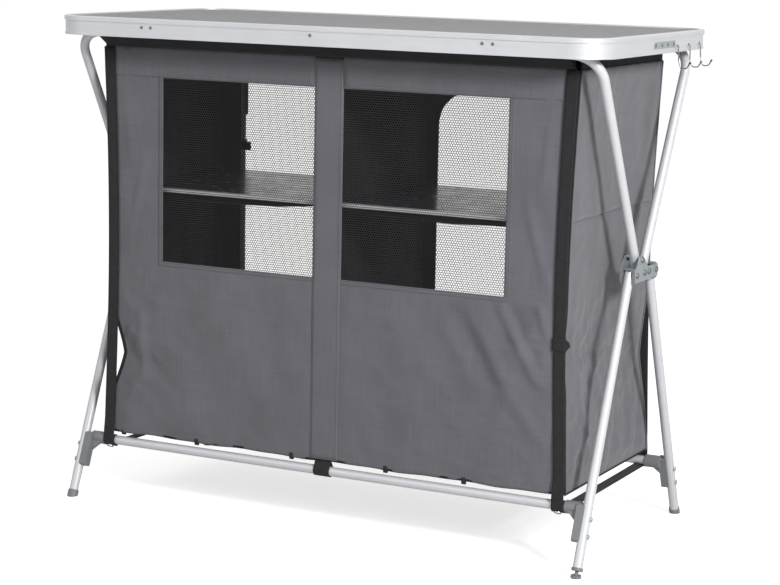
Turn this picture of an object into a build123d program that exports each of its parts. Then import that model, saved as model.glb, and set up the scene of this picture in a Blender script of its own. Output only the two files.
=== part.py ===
from build123d import *
import math
import os

os.makedirs("parts", exist_ok=True)

# Folding camping cupboard. Millimetres, +Z up, front towards -Y, right towards +X.
# Built about the middle of the tabletop, then moved along X as a whole so that the
# origin is on the floor under the middle of the overall box, hooks included.

# Driving sizes. A drop is measured from the worktop, an inset from the top's edge.
# Tabletop
TOP_WIDTH = 1015.0
TOP_DEPTH = 508.0
TOP_HEIGHT = 850.0
TOP_CORNER_R = 60.0
EDGE_HEIGHT = 32.4
LIP_BAND_HEIGHT = 8.0
LIP_STEP = 2.0
LIP_COVER = 9.0
LIP_THICK = 2.0
LIP_REBATE = 0.5
EDGE_WALL = 2.5
BEAD_HEIGHT = 4.0
BEAD_STEP = 1.0
LEDGE_THICK = 2.0
LEDGE_DEPTH = 14.0
PANEL_THICK = 10.0

# Tube frame
TUBE_D = 16.0
TUBE_WALL = 1.2
SIDE_INSET = 24.5
UPPER_PIVOT_Y = 10.0
UPPER_PIVOT_Z = 462.0
RAIL_INSET = 48.5
RAIL_DROP = 28.0
RAIL_BEND_R = 45.0
LOWER_PIVOT_Y = 44.6
LOWER_PIVOT_DROP = 1.0
BAR_INSET = 8.3
BAR_Z = 100.0
BAR_SHORT = 21.0

# Cross-joint plates, blocks, rivets and latch
PLATE_THICK = 2.0
PLATE_GAP = 24.0
PLATE_HALF_Y = 51.0
PLATE_BELOW = 13.0
PLATE_ABOVE = 8.5
EAR_ABOVE = 29.0
EAR_RIVET_Y = 22.0
EAR_RIVET_ABOVE = 22.0
PLATE_CORNER_R = 4.0
RIVET_R = 3.0
RIVET_HEAD_R = 5.2
RIVET_HEAD_H = 2.2
SHOULDER_R = 5.5
BLOCK_HALF_X = 11.7
BLOCK_SLOT_HALF_X = 8.4
BLOCK_INNER_Y = 35.6
BLOCK_OUTER_Y = 53.0
BLOCK_BELOW = 15.0
BLOCK_ABOVE = 11.5
BLOCK_ROOF_ABOVE = 8.6
LATCH_WIDTH = 10.0
LATCH_THICK = 2.4
LATCH_START_ABOVE = 8.4
LATCH_LENGTH = 21.2
LATCH_PIN_R = 2.5
LATCH_HOLE_R = 3.6

# Corner brackets and feet
SOCKET_R = 11.0
SOCKET_INSET = 39.5
SOCKET_LENGTH = 26.5
ARM_INSET = 17.0
ARM_THICK = 15.0
ARM_HALF_W = 7.5
ARM_ABOVE_BAR = 9.0
ARM_BELOW_BAR = 48.0
WEB_THICK = 8.0
BRACKET_RIVET_R = 2.4
BRACKET_RIVET_DROPS = (12.0, 38.0)
WEB_BELOW_BAR = 20.0
CAP_WALL = 1.4
CAP_GRIP = 4.5
LEG_END_Z = 6.0
LEVEL_LEG_END_Z = 15.0
LEVEL_CAP_LENGTH = 5.0
LEVEL_PAD_R = 8.6
LEVEL_PAD_H = 4.6
LEVEL_STUD_R = 3.0
LEVEL_INSERT_DEPTH = 26.0

# Fabric box
CLOTH = 1.2
BOX_SIDE_GAP = 40.0
BOX_TAPER = 2.0
BOX_WAIST = 9.0
BOX_FACE_INSET = 21.5
BOX_LIFT = 18.0
BOX_TOP_DROP = 26.0
FOLD_DEPTH = 3.0
SIDE_FOLD_DEPTH = 1.8
WINDOW_NEAR_X = 27.0
WINDOW_MARGIN = 119.0
WINDOW_BOTTOM_Z = 430.0
WINDOW_TOP_DROP = 49.0
MESH_MARGIN = 6.0
MESH_THICK = 0.5
MESH_COLS = 16
MESH_ROWS = 17
MESH_CORD = 2.4
CENTRE_STRIP_HALF = 26.0
DOOR_NEAR_X = 24.0
DOOR_MARGIN = 55.0
DOOR_SILL = 32.0
DOOR_TOP_DROP = 74.0
DOOR_CORNER_R = 60.0
ZIP_WIDTH = 12.0
ROLL_STEP = 13.0
ROLL_TURNS = 4
ROLL_START_R = 3.2
ROLL_PITCH = 2.5
ROLL_CLOTH = 1.9
TIE_WIDTH = 16.0
TIE_THICK = 1.2
SLIDER_DROP = 10.0
PULL_LENGTH = 74.0
BAND_THICK = 1.2

# Shelves
SHELF_TOP_Z = 556.0
SHELF_THICK = 5.0
SHELF_FRONT_GAP = 14.0
SHELF_REAR_GAP = 19.0
SHELF_SIDE_GAP = 17.0
TRIM_WALL = 0.8
TRIM_DEPTH = 6.0
SLING_SAG = 11.0

# Webbing
STRAP_WIDTH = 21.0
STRAP_THICK = 1.4
STRAP_INSET = 12.0
STRAP_BOW = 8.0
BINDING_WIDTH = 9.0
BINDING_THICK = 1.0
UNDER_STRAP_INSET = 17.0
UNDER_STRAP_WIDTH = 28.0
UNDER_STRAP_THICK = 1.2
BAR_LOOP_X = -1.5
BAR_LOOP_SET = 3.3
BAR_LOOP_WIDTH = 30.0
SNAP_R = 6.0

# Hooks and fascia fittings
HOOK_INSETS = (178.0, 122.0, 70.0)
HOOK_HOLE_DROP = 22.0
HOOK_HOLE_R = 2.5
HOOK_WIRE_R = 1.0
HOOK_TIP_R = 1.9
HOOK_REACH = 23.0
HOOK_DROP = 59.0
HOOK_TIP_RISE = 9.0
JOINT_PLATE_Y0 = -33.0
JOINT_PLATE_Y1 = 64.0
JOINT_PLATE_DROP = 13.0
JOINT_PLATE_WIDTH = 11.0
JOINT_PLATE_THICK = 1.0
FASCIA_RIVET_DROP = 15.0
FASCIA_RIVET_INSETS = (184.5, 202.5)
SEAT_INSET = 207.5
SEAT_HALF = 20.0

# Clearances
SOFT_GAP = 0.3
RIVET_FIT = 0.08
STUD_FIT = 0.05

# Worked-out places.
TUBE_R = TUBE_D / 2
WALL_X = TOP_WIDTH / 2 - LIP_STEP
WALL_Y = TOP_DEPTH / 2 - LIP_STEP
ORIGIN_SHIFT_X = (TOP_WIDTH / 2 - WALL_X - HOOK_REACH - HOOK_TIP_R) / 2
PANEL_TOP_Z = TOP_HEIGHT - LIP_THICK
PANEL_BOTTOM_Z = PANEL_TOP_Z - PANEL_THICK

# Fabric box between the rails and the bottom bars
SIDE_X = TOP_WIDTH / 2 - SIDE_INSET
RAIL_Y = TOP_DEPTH / 2 - RAIL_INSET
RAIL_Z = TOP_HEIGHT - RAIL_DROP
BOX_HALF_TOP = SIDE_X - BOX_SIDE_GAP
BOX_HALF_BOTTOM = BOX_HALF_TOP - BOX_TAPER
BOX_FACE_Y = RAIL_Y - BOX_FACE_INSET
BOX_BOTTOM_Z = BAR_Z + BOX_LIFT
BOX_TOP_Z = RAIL_Z - BOX_TOP_DROP
MID_SHEET_Y = BOX_FACE_Y - CLOTH / 2
WINDOW_FAR_X = BOX_HALF_TOP - WINDOW_MARGIN
WINDOW_TOP_Z = BOX_TOP_Z - WINDOW_TOP_DROP
DOOR_FAR_X = BOX_HALF_TOP - DOOR_MARGIN
DOOR_BOTTOM_Z = BOX_BOTTOM_Z + DOOR_SILL
DOOR_TOP_Z = BOX_TOP_Z - DOOR_TOP_DROP
ROLL_X = DOOR_FAR_X + ROLL_STEP
SLIDER_Z = DOOR_TOP_Z - SLIDER_DROP
SHELF_FRONT_Y = BOX_FACE_Y - SHELF_FRONT_GAP
SHELF_REAR_Y = BOX_FACE_Y - SHELF_REAR_GAP
SHELF_FAR_X = BOX_HALF_TOP - SHELF_SIDE_GAP
STRAP_X = BOX_HALF_TOP - STRAP_INSET
UNDER_STRAP_X = BOX_HALF_TOP - UNDER_STRAP_INSET

# Each tube's lean follows from its two ends; the bar sits just inside the leg's line.
BAR_Y = BOX_FACE_Y - BAR_LOOP_SET
BAR_HALF = SIDE_X - BAR_SHORT
LOWER_PIVOT_Z = UPPER_PIVOT_Z - LOWER_PIVOT_DROP
UPPER_LEAN = math.atan2(RAIL_Y - UPPER_PIVOT_Y, RAIL_Z - UPPER_PIVOT_Z)
LOWER_LEAN = math.atan2(BAR_Y + BAR_INSET - LOWER_PIVOT_Y, LOWER_PIVOT_Z - BAR_Z)
UPPER_LENGTH = math.hypot(RAIL_Y - UPPER_PIVOT_Y, RAIL_Z - UPPER_PIVOT_Z)
SIN_U = math.sin(UPPER_LEAN)
COS_U = math.cos(UPPER_LEAN)
SIN_L = math.sin(LOWER_LEAN)
COS_L = math.cos(LOWER_LEAN)

# Cross joint, about the pivots
PLATE_BOTTOM_Z = UPPER_PIVOT_Z - PLATE_BELOW
PLATE_TOP_Z = UPPER_PIVOT_Z + PLATE_ABOVE
EAR_TOP_Z = UPPER_PIVOT_Z + EAR_ABOVE
EAR_RIVET_Z = UPPER_PIVOT_Z + EAR_RIVET_ABOVE
BLOCK_BOTTOM_Z = LOWER_PIVOT_Z - BLOCK_BELOW
BLOCK_TOP_Z = LOWER_PIVOT_Z + BLOCK_ABOVE
BLOCK_ROOF_Z = LOWER_PIVOT_Z + BLOCK_ROOF_ABOVE
LATCH_BOTTOM_Z = UPPER_PIVOT_Z + LATCH_START_ABOVE
LATCH_TOP_Z = LATCH_BOTTOM_Z + LATCH_LENGTH

# Corner brackets, about the bar's ends
SOCKET_START_X = SIDE_X - SOCKET_INSET
SOCKET_END_X = SOCKET_START_X + SOCKET_LENGTH
ARM_INNER_X = SIDE_X - ARM_INSET
ARM_OUTER_X = ARM_INNER_X + ARM_THICK
ARM_TOP_Z = BAR_Z + ARM_ABOVE_BAR
ARM_BOTTOM_Z = BAR_Z - ARM_BELOW_BAR
WEB_BOTTOM_Z = BAR_Z - WEB_BELOW_BAR
BRACKET_RIVET_ZS = [BAR_Z - drop for drop in BRACKET_RIVET_DROPS]

# Hooks and fascia fittings
HOOK_YS = [TOP_DEPTH / 2 - inset for inset in HOOK_INSETS]
HOOK_HOLE_Z = TOP_HEIGHT - HOOK_HOLE_DROP
HOOK_BOTTOM_Z = TOP_HEIGHT - HOOK_DROP
HOOK_TIP_Z = HOOK_BOTTOM_Z + HOOK_TIP_RISE
JOINT_PLATE_Z1 = TOP_HEIGHT - JOINT_PLATE_DROP
JOINT_PLATE_Z0 = JOINT_PLATE_Z1 - JOINT_PLATE_WIDTH
FASCIA_RIVET_Z = TOP_HEIGHT - FASCIA_RIVET_DROP
FASCIA_RIVET_XS = [0.0] + [
    side * (TOP_WIDTH / 2 - inset) for side in (-1, 1) for inset in FASCIA_RIVET_INSETS
]
SEAT_X = TOP_WIDTH / 2 - SEAT_INSET

# In both leaning frames local y runs up the tube and the origin is on the pivot line.
UPPER_PLANE = Plane(
    origin=(0, -UPPER_PIVOT_Y, UPPER_PIVOT_Z), x_dir=(1, 0, 0), z_dir=(0, -COS_U, -SIN_U)
)
LOWER_PLANE = Plane(
    origin=(0, -LOWER_PIVOT_Y, LOWER_PIVOT_Z), x_dir=(1, 0, 0), z_dir=(0, -COS_L, SIN_L)
)


def save(name, *shapes):
    """Write one node; several solids go in as one group."""
    solids = []
    for shape in shapes:
        solids.extend((Pos(ORIGIN_SHIFT_X, 0, 0) * shape).solids())
    export_step(Compound(solids), f"parts/{name}.step")


def flip_x(shape):
    return mirror(shape, about=Plane.YZ)


def flip_y(shape):
    return mirror(shape, about=Plane.XZ)


def block(x0, x1, y0, y1, z0, z1):
    """Box between two corners."""
    centre = Pos((x0 + x1) / 2, (y0 + y1) / 2, (z0 + z1) / 2)
    return centre * Box(abs(x1 - x0), abs(y1 - y0), abs(z1 - z0))


def rod_x(x0, x1, y, z, radius):
    """Round bar along X."""
    bar = Cylinder(radius, abs(x1 - x0), rotation=(0, 90, 0))
    return Pos((x0 + x1) / 2, y, z) * bar


def rod_y(y0, y1, x, z, radius):
    """Round bar along Y."""
    bar = Cylinder(radius, abs(y1 - y0), rotation=(90, 0, 0))
    return Pos(x, (y0 + y1) / 2, z) * bar


def rounded_slab(half_x, half_y, radius, z0, z1):
    """Rounded rectangle standing between two heights."""
    sketch = Pos(0, 0, z0) * RectangleRounded(2 * half_x, 2 * half_y, radius)
    return extrude(sketch, z1 - z0)


def yz_prism(points, radius, x0, x1):
    """Closed outline in Y and Z with rounded corners, from x0 to x1."""
    line = FilletPolyline(*points, radius=radius, close=True)
    face = make_face(Plane.YZ.offset(min(x0, x1)) * line)
    return extrude(face, abs(x1 - x0), dir=(1, 0, 0))


def cloth_sheet(grid, thickness, across):
    """Curved sheet through a grid of points, thickened along one axis."""
    face = Face.make_surface_from_array_of_points(
        grid, tol=SHEET_TOLERANCE, smoothing=(1, 1, 1), max_deg=5
    )
    step = Vector(*across) * (thickness / 2)
    return extrude(Pos(*(step * -1)) * face, thickness, dir=across)


def smooth_step(low, high, value):
    t = min(1.0, max(0.0, (value - low) / (high - low)))
    return t * t * (3 - 2 * t)


def bump(value, middle, reach):
    t = (value - middle) / reach
    return 0.5 * (1 + math.cos(math.pi * t)) if abs(t) < 1 else 0.0


# Tabletop.
def edge_ring(z0, z1, outward, inward_x, inward_y):
    """One layer of the edge profile between two heights."""
    outer_r = TOP_CORNER_R - LIP_STEP + outward
    outer = rounded_slab(WALL_X + outward, WALL_Y + outward, outer_r, z0, z1)
    inner_r = TOP_CORNER_R - LIP_STEP - inward_x
    inner = rounded_slab(WALL_X - inward_x, WALL_Y - inward_y, inner_r, z0, z1)
    return outer - inner


edge_bottom_z = TOP_HEIGHT - EDGE_HEIGHT
bead_top_z = edge_bottom_z + BEAD_HEIGHT
band_bottom_z = TOP_HEIGHT - LIP_BAND_HEIGHT
ledge_bottom_z = PANEL_BOTTOM_Z - LEDGE_THICK
lip_inner = LIP_COVER - LIP_STEP
rebate_z = PANEL_TOP_Z - LIP_REBATE

edge_profile = edge_ring(edge_bottom_z, PANEL_TOP_Z, 0, EDGE_WALL, EDGE_WALL)
edge_profile += edge_ring(edge_bottom_z, bead_top_z, BEAD_STEP, EDGE_WALL, EDGE_WALL)
edge_profile += edge_ring(band_bottom_z, PANEL_TOP_Z, LIP_STEP, EDGE_WALL, EDGE_WALL)
edge_profile += edge_ring(rebate_z, TOP_HEIGHT, LIP_STEP, lip_inner, lip_inner)
edge_profile += edge_ring(ledge_bottom_z, PANEL_BOTTOM_Z, 0, LEDGE_DEPTH, LEDGE_DEPTH)
top_plate = rounded_slab(TOP_WIDTH / 2, TOP_DEPTH / 2, TOP_CORNER_R, edge_bottom_z, TOP_HEIGHT)
top_plate = chamfer(top_plate.edges().group_by(Axis.Z)[-1], 1.2)
edge_profile = edge_profile & top_plate
for hook_y in HOOK_YS:
    edge_profile -= rod_x(WALL_X - 6, WALL_X + 6, hook_y, HOOK_HOLE_Z, HOOK_HOLE_R)

joint_rivet_ys = (-26.0, 2.0, 29.0, 57.0)
joint_rivet_z = (JOINT_PLATE_Z0 + JOINT_PLATE_Z1) / 2
joint_plate = block(
    WALL_X, WALL_X + JOINT_PLATE_THICK, JOINT_PLATE_Y0, JOINT_PLATE_Y1,
    JOINT_PLATE_Z0, JOINT_PLATE_Z1,
)
joint_plate = fillet(joint_plate.edges().filter_by(Axis.X), 2.0)
small_r = 1.6
for rivet_y in joint_rivet_ys:
    hole = rod_x(WALL_X - 6, WALL_X + 6, rivet_y, joint_rivet_z, small_r)
    joint_plate -= hole
    edge_profile -= hole
for rivet_x in FASCIA_RIVET_XS:
    edge_profile -= rod_y(-WALL_Y - 6, -WALL_Y + 6, rivet_x, FASCIA_RIVET_Z, small_r)


def small_rivet(depth):
    """Domed rivet, shank towards -Z, head seated on z = 0."""
    shank = Pos(0, 0, -depth / 2) * Cylinder(small_r, depth)
    head = Pos(0, 0, 0.5) * Cylinder(2.8, 1.0)
    head = fillet(head.edges().group_by(Axis.Z)[-1], 0.6)
    return shank + head


joint_rivets = []
for rivet_y in joint_rivet_ys:
    seat = Pos(WALL_X + JOINT_PLATE_THICK, rivet_y, joint_rivet_z) * Rot(0, 90, 0)
    joint_rivets.append(seat * small_rivet(EDGE_WALL + JOINT_PLATE_THICK))
fascia_rivets = []
for rivet_x in FASCIA_RIVET_XS:
    seat = Pos(rivet_x, -WALL_Y, FASCIA_RIVET_Z) * Rot(90, 0, 0)
    fascia_rivets.append(seat * small_rivet(EDGE_WALL))

# The panel's border is rebated for the lip, so its top face ends at the lip's inner edge.
tabletop_panel = rounded_slab(
    WALL_X - EDGE_WALL, WALL_Y - EDGE_WALL, TOP_CORNER_R - LIP_STEP - EDGE_WALL,
    PANEL_BOTTOM_Z, rebate_z,
)
tabletop_panel += rounded_slab(
    WALL_X - lip_inner, WALL_Y - lip_inner, TOP_CORNER_R - LIP_STEP - lip_inner,
    rebate_z, PANEL_TOP_Z,
)

# Seats under the panel rest on the rail sleeve and hug its outer side only.
sleeve_outer_r = TUBE_R + 0.4 + BAND_THICK
seat_bottom_z = RAIL_Z + sleeve_outer_r + SOFT_GAP
seat_lip_y = RAIL_Y + sleeve_outer_r + SOFT_GAP
seats = []
for seat_x in (-SEAT_X, SEAT_X):
    seat = block(seat_x - SEAT_HALF, seat_x + SEAT_HALF, -seat_lip_y - 4, -RAIL_Y + 12,
                 seat_bottom_z, PANEL_BOTTOM_Z)
    seat += block(seat_x - SEAT_HALF, seat_x + SEAT_HALF, -seat_lip_y - 4, -seat_lip_y,
                  RAIL_Z - 5, PANEL_BOTTOM_Z)
    seats.append(seat)
    seats.append(flip_y(seat))

save("tabletop_edge_profile", edge_profile)
save("tabletop_panel", tabletop_panel)
save("edge_joint_plate", joint_plate)
save("joint_plate_rivets", *joint_rivets)
save("fascia_rivets", *fascia_rivets)
save("rail_seat_blocks", *seats)


# Hooks.
def s_hook(hook_y):
    """Wire hook through a hole in the skirt, with a blob on each end."""
    wall_mid_x = WALL_X - EDGE_WALL / 2
    near_x = WALL_X + 2.6
    far_x = WALL_X + HOOK_REACH
    inner_x = WALL_X - EDGE_WALL - 2.6
    points = (
        (inner_x, hook_y, HOOK_HOLE_Z + 6),
        (inner_x, hook_y, HOOK_HOLE_Z),
        (wall_mid_x + 3.8, hook_y, HOOK_HOLE_Z),
        (near_x + 1.0, hook_y, HOOK_HOLE_Z - 24),
        (near_x + 5.0, hook_y, HOOK_BOTTOM_Z),
        (far_x - 5.0, hook_y, HOOK_BOTTOM_Z),
        (far_x, hook_y, HOOK_TIP_Z),
    )
    path = FilletPolyline(*points, radius=(1.8, 2.0, 8.0, 4.5, 6.0))
    section = Plane(origin=path @ 0, z_dir=path % 0) * Circle(HOOK_WIRE_R)
    wire = sweep(section, path=path)
    tip_low = Pos(*(path @ 1)) * Sphere(HOOK_TIP_R)
    tip_high = Pos(*(path @ 0)) * Sphere(HOOK_TIP_R)
    return wire - tip_low - tip_high, tip_low, tip_high


for index, hook_y in enumerate(HOOK_YS, start=1):
    save(f"hook_{index}", *s_hook(hook_y))


# Tubes.
def round_tube_end(x):
    """Cutter that rounds a tube's end about the pivot on local y = 0."""
    box = Pos(x, -TUBE_R / 2 - 1, 0) * Box(TUBE_D + 4, TUBE_R + 2, TUBE_D + 4)
    return box - rod_x(x - TUBE_D, x + TUBE_D, 0, 0, TUBE_R)


def upper_frame():
    """Upright, rail and upright bent from one tube, in its leaning frame."""
    path = FilletPolyline(
        (-SIDE_X, -TUBE_R, 0), (-SIDE_X, UPPER_LENGTH, 0),
        (SIDE_X, UPPER_LENGTH, 0), (SIDE_X, -TUBE_R, 0),
        radius=RAIL_BEND_R,
    )
    ring = Circle(TUBE_R) - Circle(TUBE_R - TUBE_WALL)
    section = Plane(origin=path @ 0, z_dir=path % 0) * ring
    frame = sweep(section, path=path)
    for x in (-SIDE_X, SIDE_X):
        frame -= round_tube_end(x)
        frame -= rod_x(x - TUBE_D, x + TUBE_D, 0, 0, RIVET_R + RIVET_FIT)
    return frame


def lower_leg(end_z):
    """Straight leg hanging from its pivot, in its leaning frame, at x = SIDE_X."""
    length = (LOWER_PIVOT_Z - end_z) / COS_L
    middle = (TUBE_R - length) / 2
    tube = Pos(SIDE_X, middle, 0) * Cylinder(TUBE_R, length + TUBE_R, rotation=(90, 0, 0))
    bore = Pos(SIDE_X, middle, 0) * Cylinder(
        TUBE_R - TUBE_WALL, length + TUBE_R + 2, rotation=(90, 0, 0)
    )
    leg = tube - bore
    leg -= Pos(SIDE_X, 0, 0) * Rot(0, 0, 180) * Pos(-SIDE_X, 0, 0) * round_tube_end(SIDE_X)
    leg -= rod_x(SIDE_X - TUBE_D, SIDE_X + TUBE_D, 0, 0, RIVET_R + RIVET_FIT)
    for height in BRACKET_RIVET_ZS:
        along = -(LOWER_PIVOT_Z - height) / COS_L
        leg -= rod_x(SIDE_X - TUBE_D, SIDE_X + TUBE_D, along, 0, BRACKET_RIVET_R)
    return leg


upper_front = UPPER_PLANE * upper_frame()
save("upper_frame_front", upper_front)
save("upper_frame_rear", flip_y(upper_front))

plain_leg = LOWER_PLANE * lower_leg(LEG_END_Z)
level_leg = LOWER_PLANE * lower_leg(LEVEL_LEG_END_Z)
save("leg_front_left", flip_x(plain_leg))
save("leg_front_right", level_leg)
save("leg_rear_left", flip_x(flip_y(plain_leg)))
save("leg_rear_right", flip_y(plain_leg))

bar = rod_x(-BAR_HALF, BAR_HALF, -BAR_Y, BAR_Z, TUBE_R)
bar -= rod_x(-BAR_HALF - 1, BAR_HALF + 1, -BAR_Y, BAR_Z, TUBE_R - TUBE_WALL)
save("bottom_bar_front", bar)
save("bottom_bar_rear", flip_y(bar))

# Corner brackets.
# Bar centre seen in the leg's leaning frame.
bar_dy = LOWER_PIVOT_Y - BAR_Y
bar_dz = BAR_Z - LOWER_PIVOT_Z
bar_along = bar_dy * SIN_L + bar_dz * COS_L
bar_across = -bar_dy * COS_L + bar_dz * SIN_L


def leg_along(z):
    return -(LOWER_PIVOT_Z - z) / COS_L


def corner_bracket():
    """Socket on the bar, web and saddle arm on the leg, in the leg's frame."""
    arm_low = leg_along(ARM_BOTTOM_Z)
    arm_high = leg_along(ARM_TOP_Z)
    arm = block(ARM_INNER_X, ARM_OUTER_X, arm_low, arm_high, -ARM_HALF_W, ARM_HALF_W)
    arm = fillet(arm.edges().filter_by(Axis.X), 4.0)
    socket = rod_x(SOCKET_START_X, SOCKET_END_X, bar_along, bar_across, SOCKET_R)
    web_line = Polyline(
        (SOCKET_START_X + 4, bar_along - 6, 0), (ARM_INNER_X + 1, leg_along(WEB_BOTTOM_Z), 0),
        (ARM_INNER_X + 1, bar_along, 0), (SOCKET_START_X + 4, bar_along, 0), close=True,
    )
    web = extrude(make_face(web_line), WEB_THICK / 2, both=True)
    web = Pos(0, 0, bar_across / 2) * web
    bracket = arm + socket + web
    bracket -= rod_x(SOCKET_START_X - 1, BAR_HALF, bar_along, bar_across, TUBE_R)
    leg_space = Pos(SIDE_X, leg_along(80.0), 0) * Cylinder(TUBE_R, 200, rotation=(90, 0, 0))
    bracket -= leg_space
    for height in BRACKET_RIVET_ZS:
        hole = rod_x(ARM_INNER_X + 2, SIDE_X, leg_along(height), 0, BRACKET_RIVET_R)
        bracket -= hole
    return bracket


def bracket_rivet(height):
    """Domed rivet through the leg into the saddle arm."""
    along = leg_along(height)
    shank = rod_x(ARM_INNER_X + 2, SIDE_X + TUBE_R + 0.4, along, 0, BRACKET_RIVET_R)
    head_x = SIDE_X + TUBE_R + 0.4
    head = rod_x(head_x, head_x + 1.8, along, 0, 4.2)
    head = fillet(head.edges().group_by(Axis.X)[-1], 1.2)
    return shank + head


bracket_right = LOWER_PLANE * corner_bracket()
rivets_right = [LOWER_PLANE * bracket_rivet(height) for height in BRACKET_RIVET_ZS]
rivets_front = rivets_right + [flip_x(r) for r in rivets_right]
save("brackets_front", bracket_right, flip_x(bracket_right))
save("brackets_rear", flip_y(bracket_right), flip_x(flip_y(bracket_right)))
save("bracket_rivets_front", *rivets_front)
save("bracket_rivets_rear", *[flip_y(r) for r in rivets_front])


# Feet.
above_floor = block(0, TOP_WIDTH, -TOP_DEPTH, 0, 0, BAR_Z)


def along_rod(x, along0, along1, radius):
    """Round bar along the leg, in the leg's frame."""
    rod = Cylinder(radius, abs(along1 - along0), rotation=(90, 0, 0))
    return Pos(x, (along0 + along1) / 2, 0) * rod


def foot_cap():
    """Cup over the leg's end with its sole cut flat on the floor."""
    end = leg_along(LEG_END_Z)
    cap = along_rod(SIDE_X, end + CAP_GRIP, end - 16, TUBE_R + CAP_WALL)
    cap -= along_rod(SIDE_X, end + CAP_GRIP + 1, end, TUBE_R)
    cap += along_rod(SIDE_X, end + 14, end - 2, TUBE_R - TUBE_WALL)
    return (LOWER_PLANE * cap) & above_floor


def level_insert():
    """Plug and collar in the right front leg's end, bored for the foot's stud."""
    end = leg_along(LEVEL_LEG_END_Z)
    plug = along_rod(SIDE_X, end + LEVEL_INSERT_DEPTH, end, TUBE_R - TUBE_WALL)
    plug += along_rod(SIDE_X, end, end - LEVEL_CAP_LENGTH, TUBE_R + CAP_WALL)
    plug -= along_rod(SIDE_X, end + 40, end - 20, LEVEL_STUD_R + STUD_FIT)
    return LOWER_PLANE * plug


def level_foot():
    """Stud along the leg on a round pad that lies flat on the floor."""
    end = leg_along(LEVEL_LEG_END_Z)
    stud = along_rod(SIDE_X, end + LEVEL_INSERT_DEPTH - 4, leg_along(1.0), LEVEL_STUD_R)
    pad_y = -LOWER_PIVOT_Y - (LOWER_PIVOT_Z - LEVEL_PAD_H / 2) * SIN_L / COS_L
    pad = Pos(SIDE_X, pad_y, LEVEL_PAD_H / 2) * Cylinder(LEVEL_PAD_R, LEVEL_PAD_H)
    pad = fillet(pad.edges().group_by(Axis.Z)[-1], 1.2)
    return (LOWER_PLANE * stud + pad) & above_floor


cap_right = foot_cap()
save("foot_cap_front_left", flip_x(cap_right))
save("foot_caps_rear", flip_y(cap_right), flip_x(flip_y(cap_right)))
save("foot_insert_front_right", level_insert())
save("levelling_foot", level_foot())

# Cross joints.
plate_in_x = SIDE_X - PLATE_GAP / 2
plate_out_x = SIDE_X + PLATE_GAP / 2
pivot_places = (
    (-UPPER_PIVOT_Y, UPPER_PIVOT_Z), (UPPER_PIVOT_Y, UPPER_PIVOT_Z),
    (-LOWER_PIVOT_Y, LOWER_PIVOT_Z), (LOWER_PIVOT_Y, LOWER_PIVOT_Z),
)
plate_outline = (
    (-PLATE_HALF_Y, PLATE_BOTTOM_Z), (PLATE_HALF_Y, PLATE_BOTTOM_Z),
    (PLATE_HALF_Y, PLATE_TOP_Z), (5.0, PLATE_TOP_Z), (-18.0, EAR_TOP_Z),
    (-32.0, EAR_TOP_Z), (-PLATE_HALF_Y, PLATE_TOP_Z),
)


def hub_plate(x0, x1, ear_hole_r):
    plate = yz_prism(plate_outline, PLATE_CORNER_R, x0, x1)
    for y, z in pivot_places:
        plate -= rod_x(x0 - 1, x1 + 1, y, z, RIVET_R)
    plate -= rod_x(x0 - 1, x1 + 1, -EAR_RIVET_Y, EAR_RIVET_Z, ear_hole_r)
    return plate


def rivet_head(x, outward, y, z):
    """Domed head standing on the plate face at x."""
    head = rod_x(x, x + outward * RIVET_HEAD_H, y, z, RIVET_HEAD_R)
    rim_edges = head.edges().group_by(Axis.X)[-1 if outward > 0 else 0]
    return fillet(rim_edges, 1.5)


def hub_rivet(y, z, shoulders):
    face_in = plate_in_x - PLATE_THICK
    face_out = plate_out_x + PLATE_THICK
    rivet = rod_x(face_in, face_out, y, z, RIVET_R)
    rivet += rivet_head(face_in, -1, y, z) + rivet_head(face_out, 1, y, z)
    if shoulders:
        rivet += rod_x(plate_in_x, SIDE_X - TUBE_R - 0.2, y, z, SHOULDER_R)
        rivet += rod_x(SIDE_X + TUBE_R + 0.2, plate_out_x, y, z, SHOULDER_R)
    return rivet


def ear_stud():
    """Stud in the ear whose end stands just clear of the front upright."""
    face_out = plate_out_x + PLATE_THICK
    stud = rod_x(SIDE_X + TUBE_R + SOFT_GAP, face_out, -EAR_RIVET_Y, EAR_RIVET_Z, RIVET_R)
    return stud + rivet_head(face_out, 1, -EAR_RIVET_Y, EAR_RIVET_Z)


def hub_block():
    """Plastic spacer that straddles the top of a lower leg, front side."""
    outline = (
        (-BLOCK_OUTER_Y, BLOCK_BOTTOM_Z), (-BLOCK_INNER_Y, BLOCK_BOTTOM_Z),
        (-BLOCK_INNER_Y, BLOCK_TOP_Z), (-BLOCK_OUTER_Y + 3, BLOCK_TOP_Z),
        (-BLOCK_OUTER_Y, BLOCK_TOP_Z - 6),
    )
    shape = yz_prism(outline, 1.5, SIDE_X - BLOCK_HALF_X, SIDE_X + BLOCK_HALF_X)
    slot = block(
        SIDE_X - BLOCK_SLOT_HALF_X, SIDE_X + BLOCK_SLOT_HALF_X, -80, 0,
        BLOCK_BOTTOM_Z - 10, BLOCK_ROOF_Z,
    )
    shape -= slot
    hole = rod_x(
        SIDE_X - PLATE_GAP, SIDE_X + PLATE_GAP, -LOWER_PIVOT_Y, LOWER_PIVOT_Z, RIVET_R
    )
    return shape - hole


latch_face_x = plate_in_x - PLATE_THICK - SOFT_GAP
latch_outer_x = latch_face_x - LATCH_THICK


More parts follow.
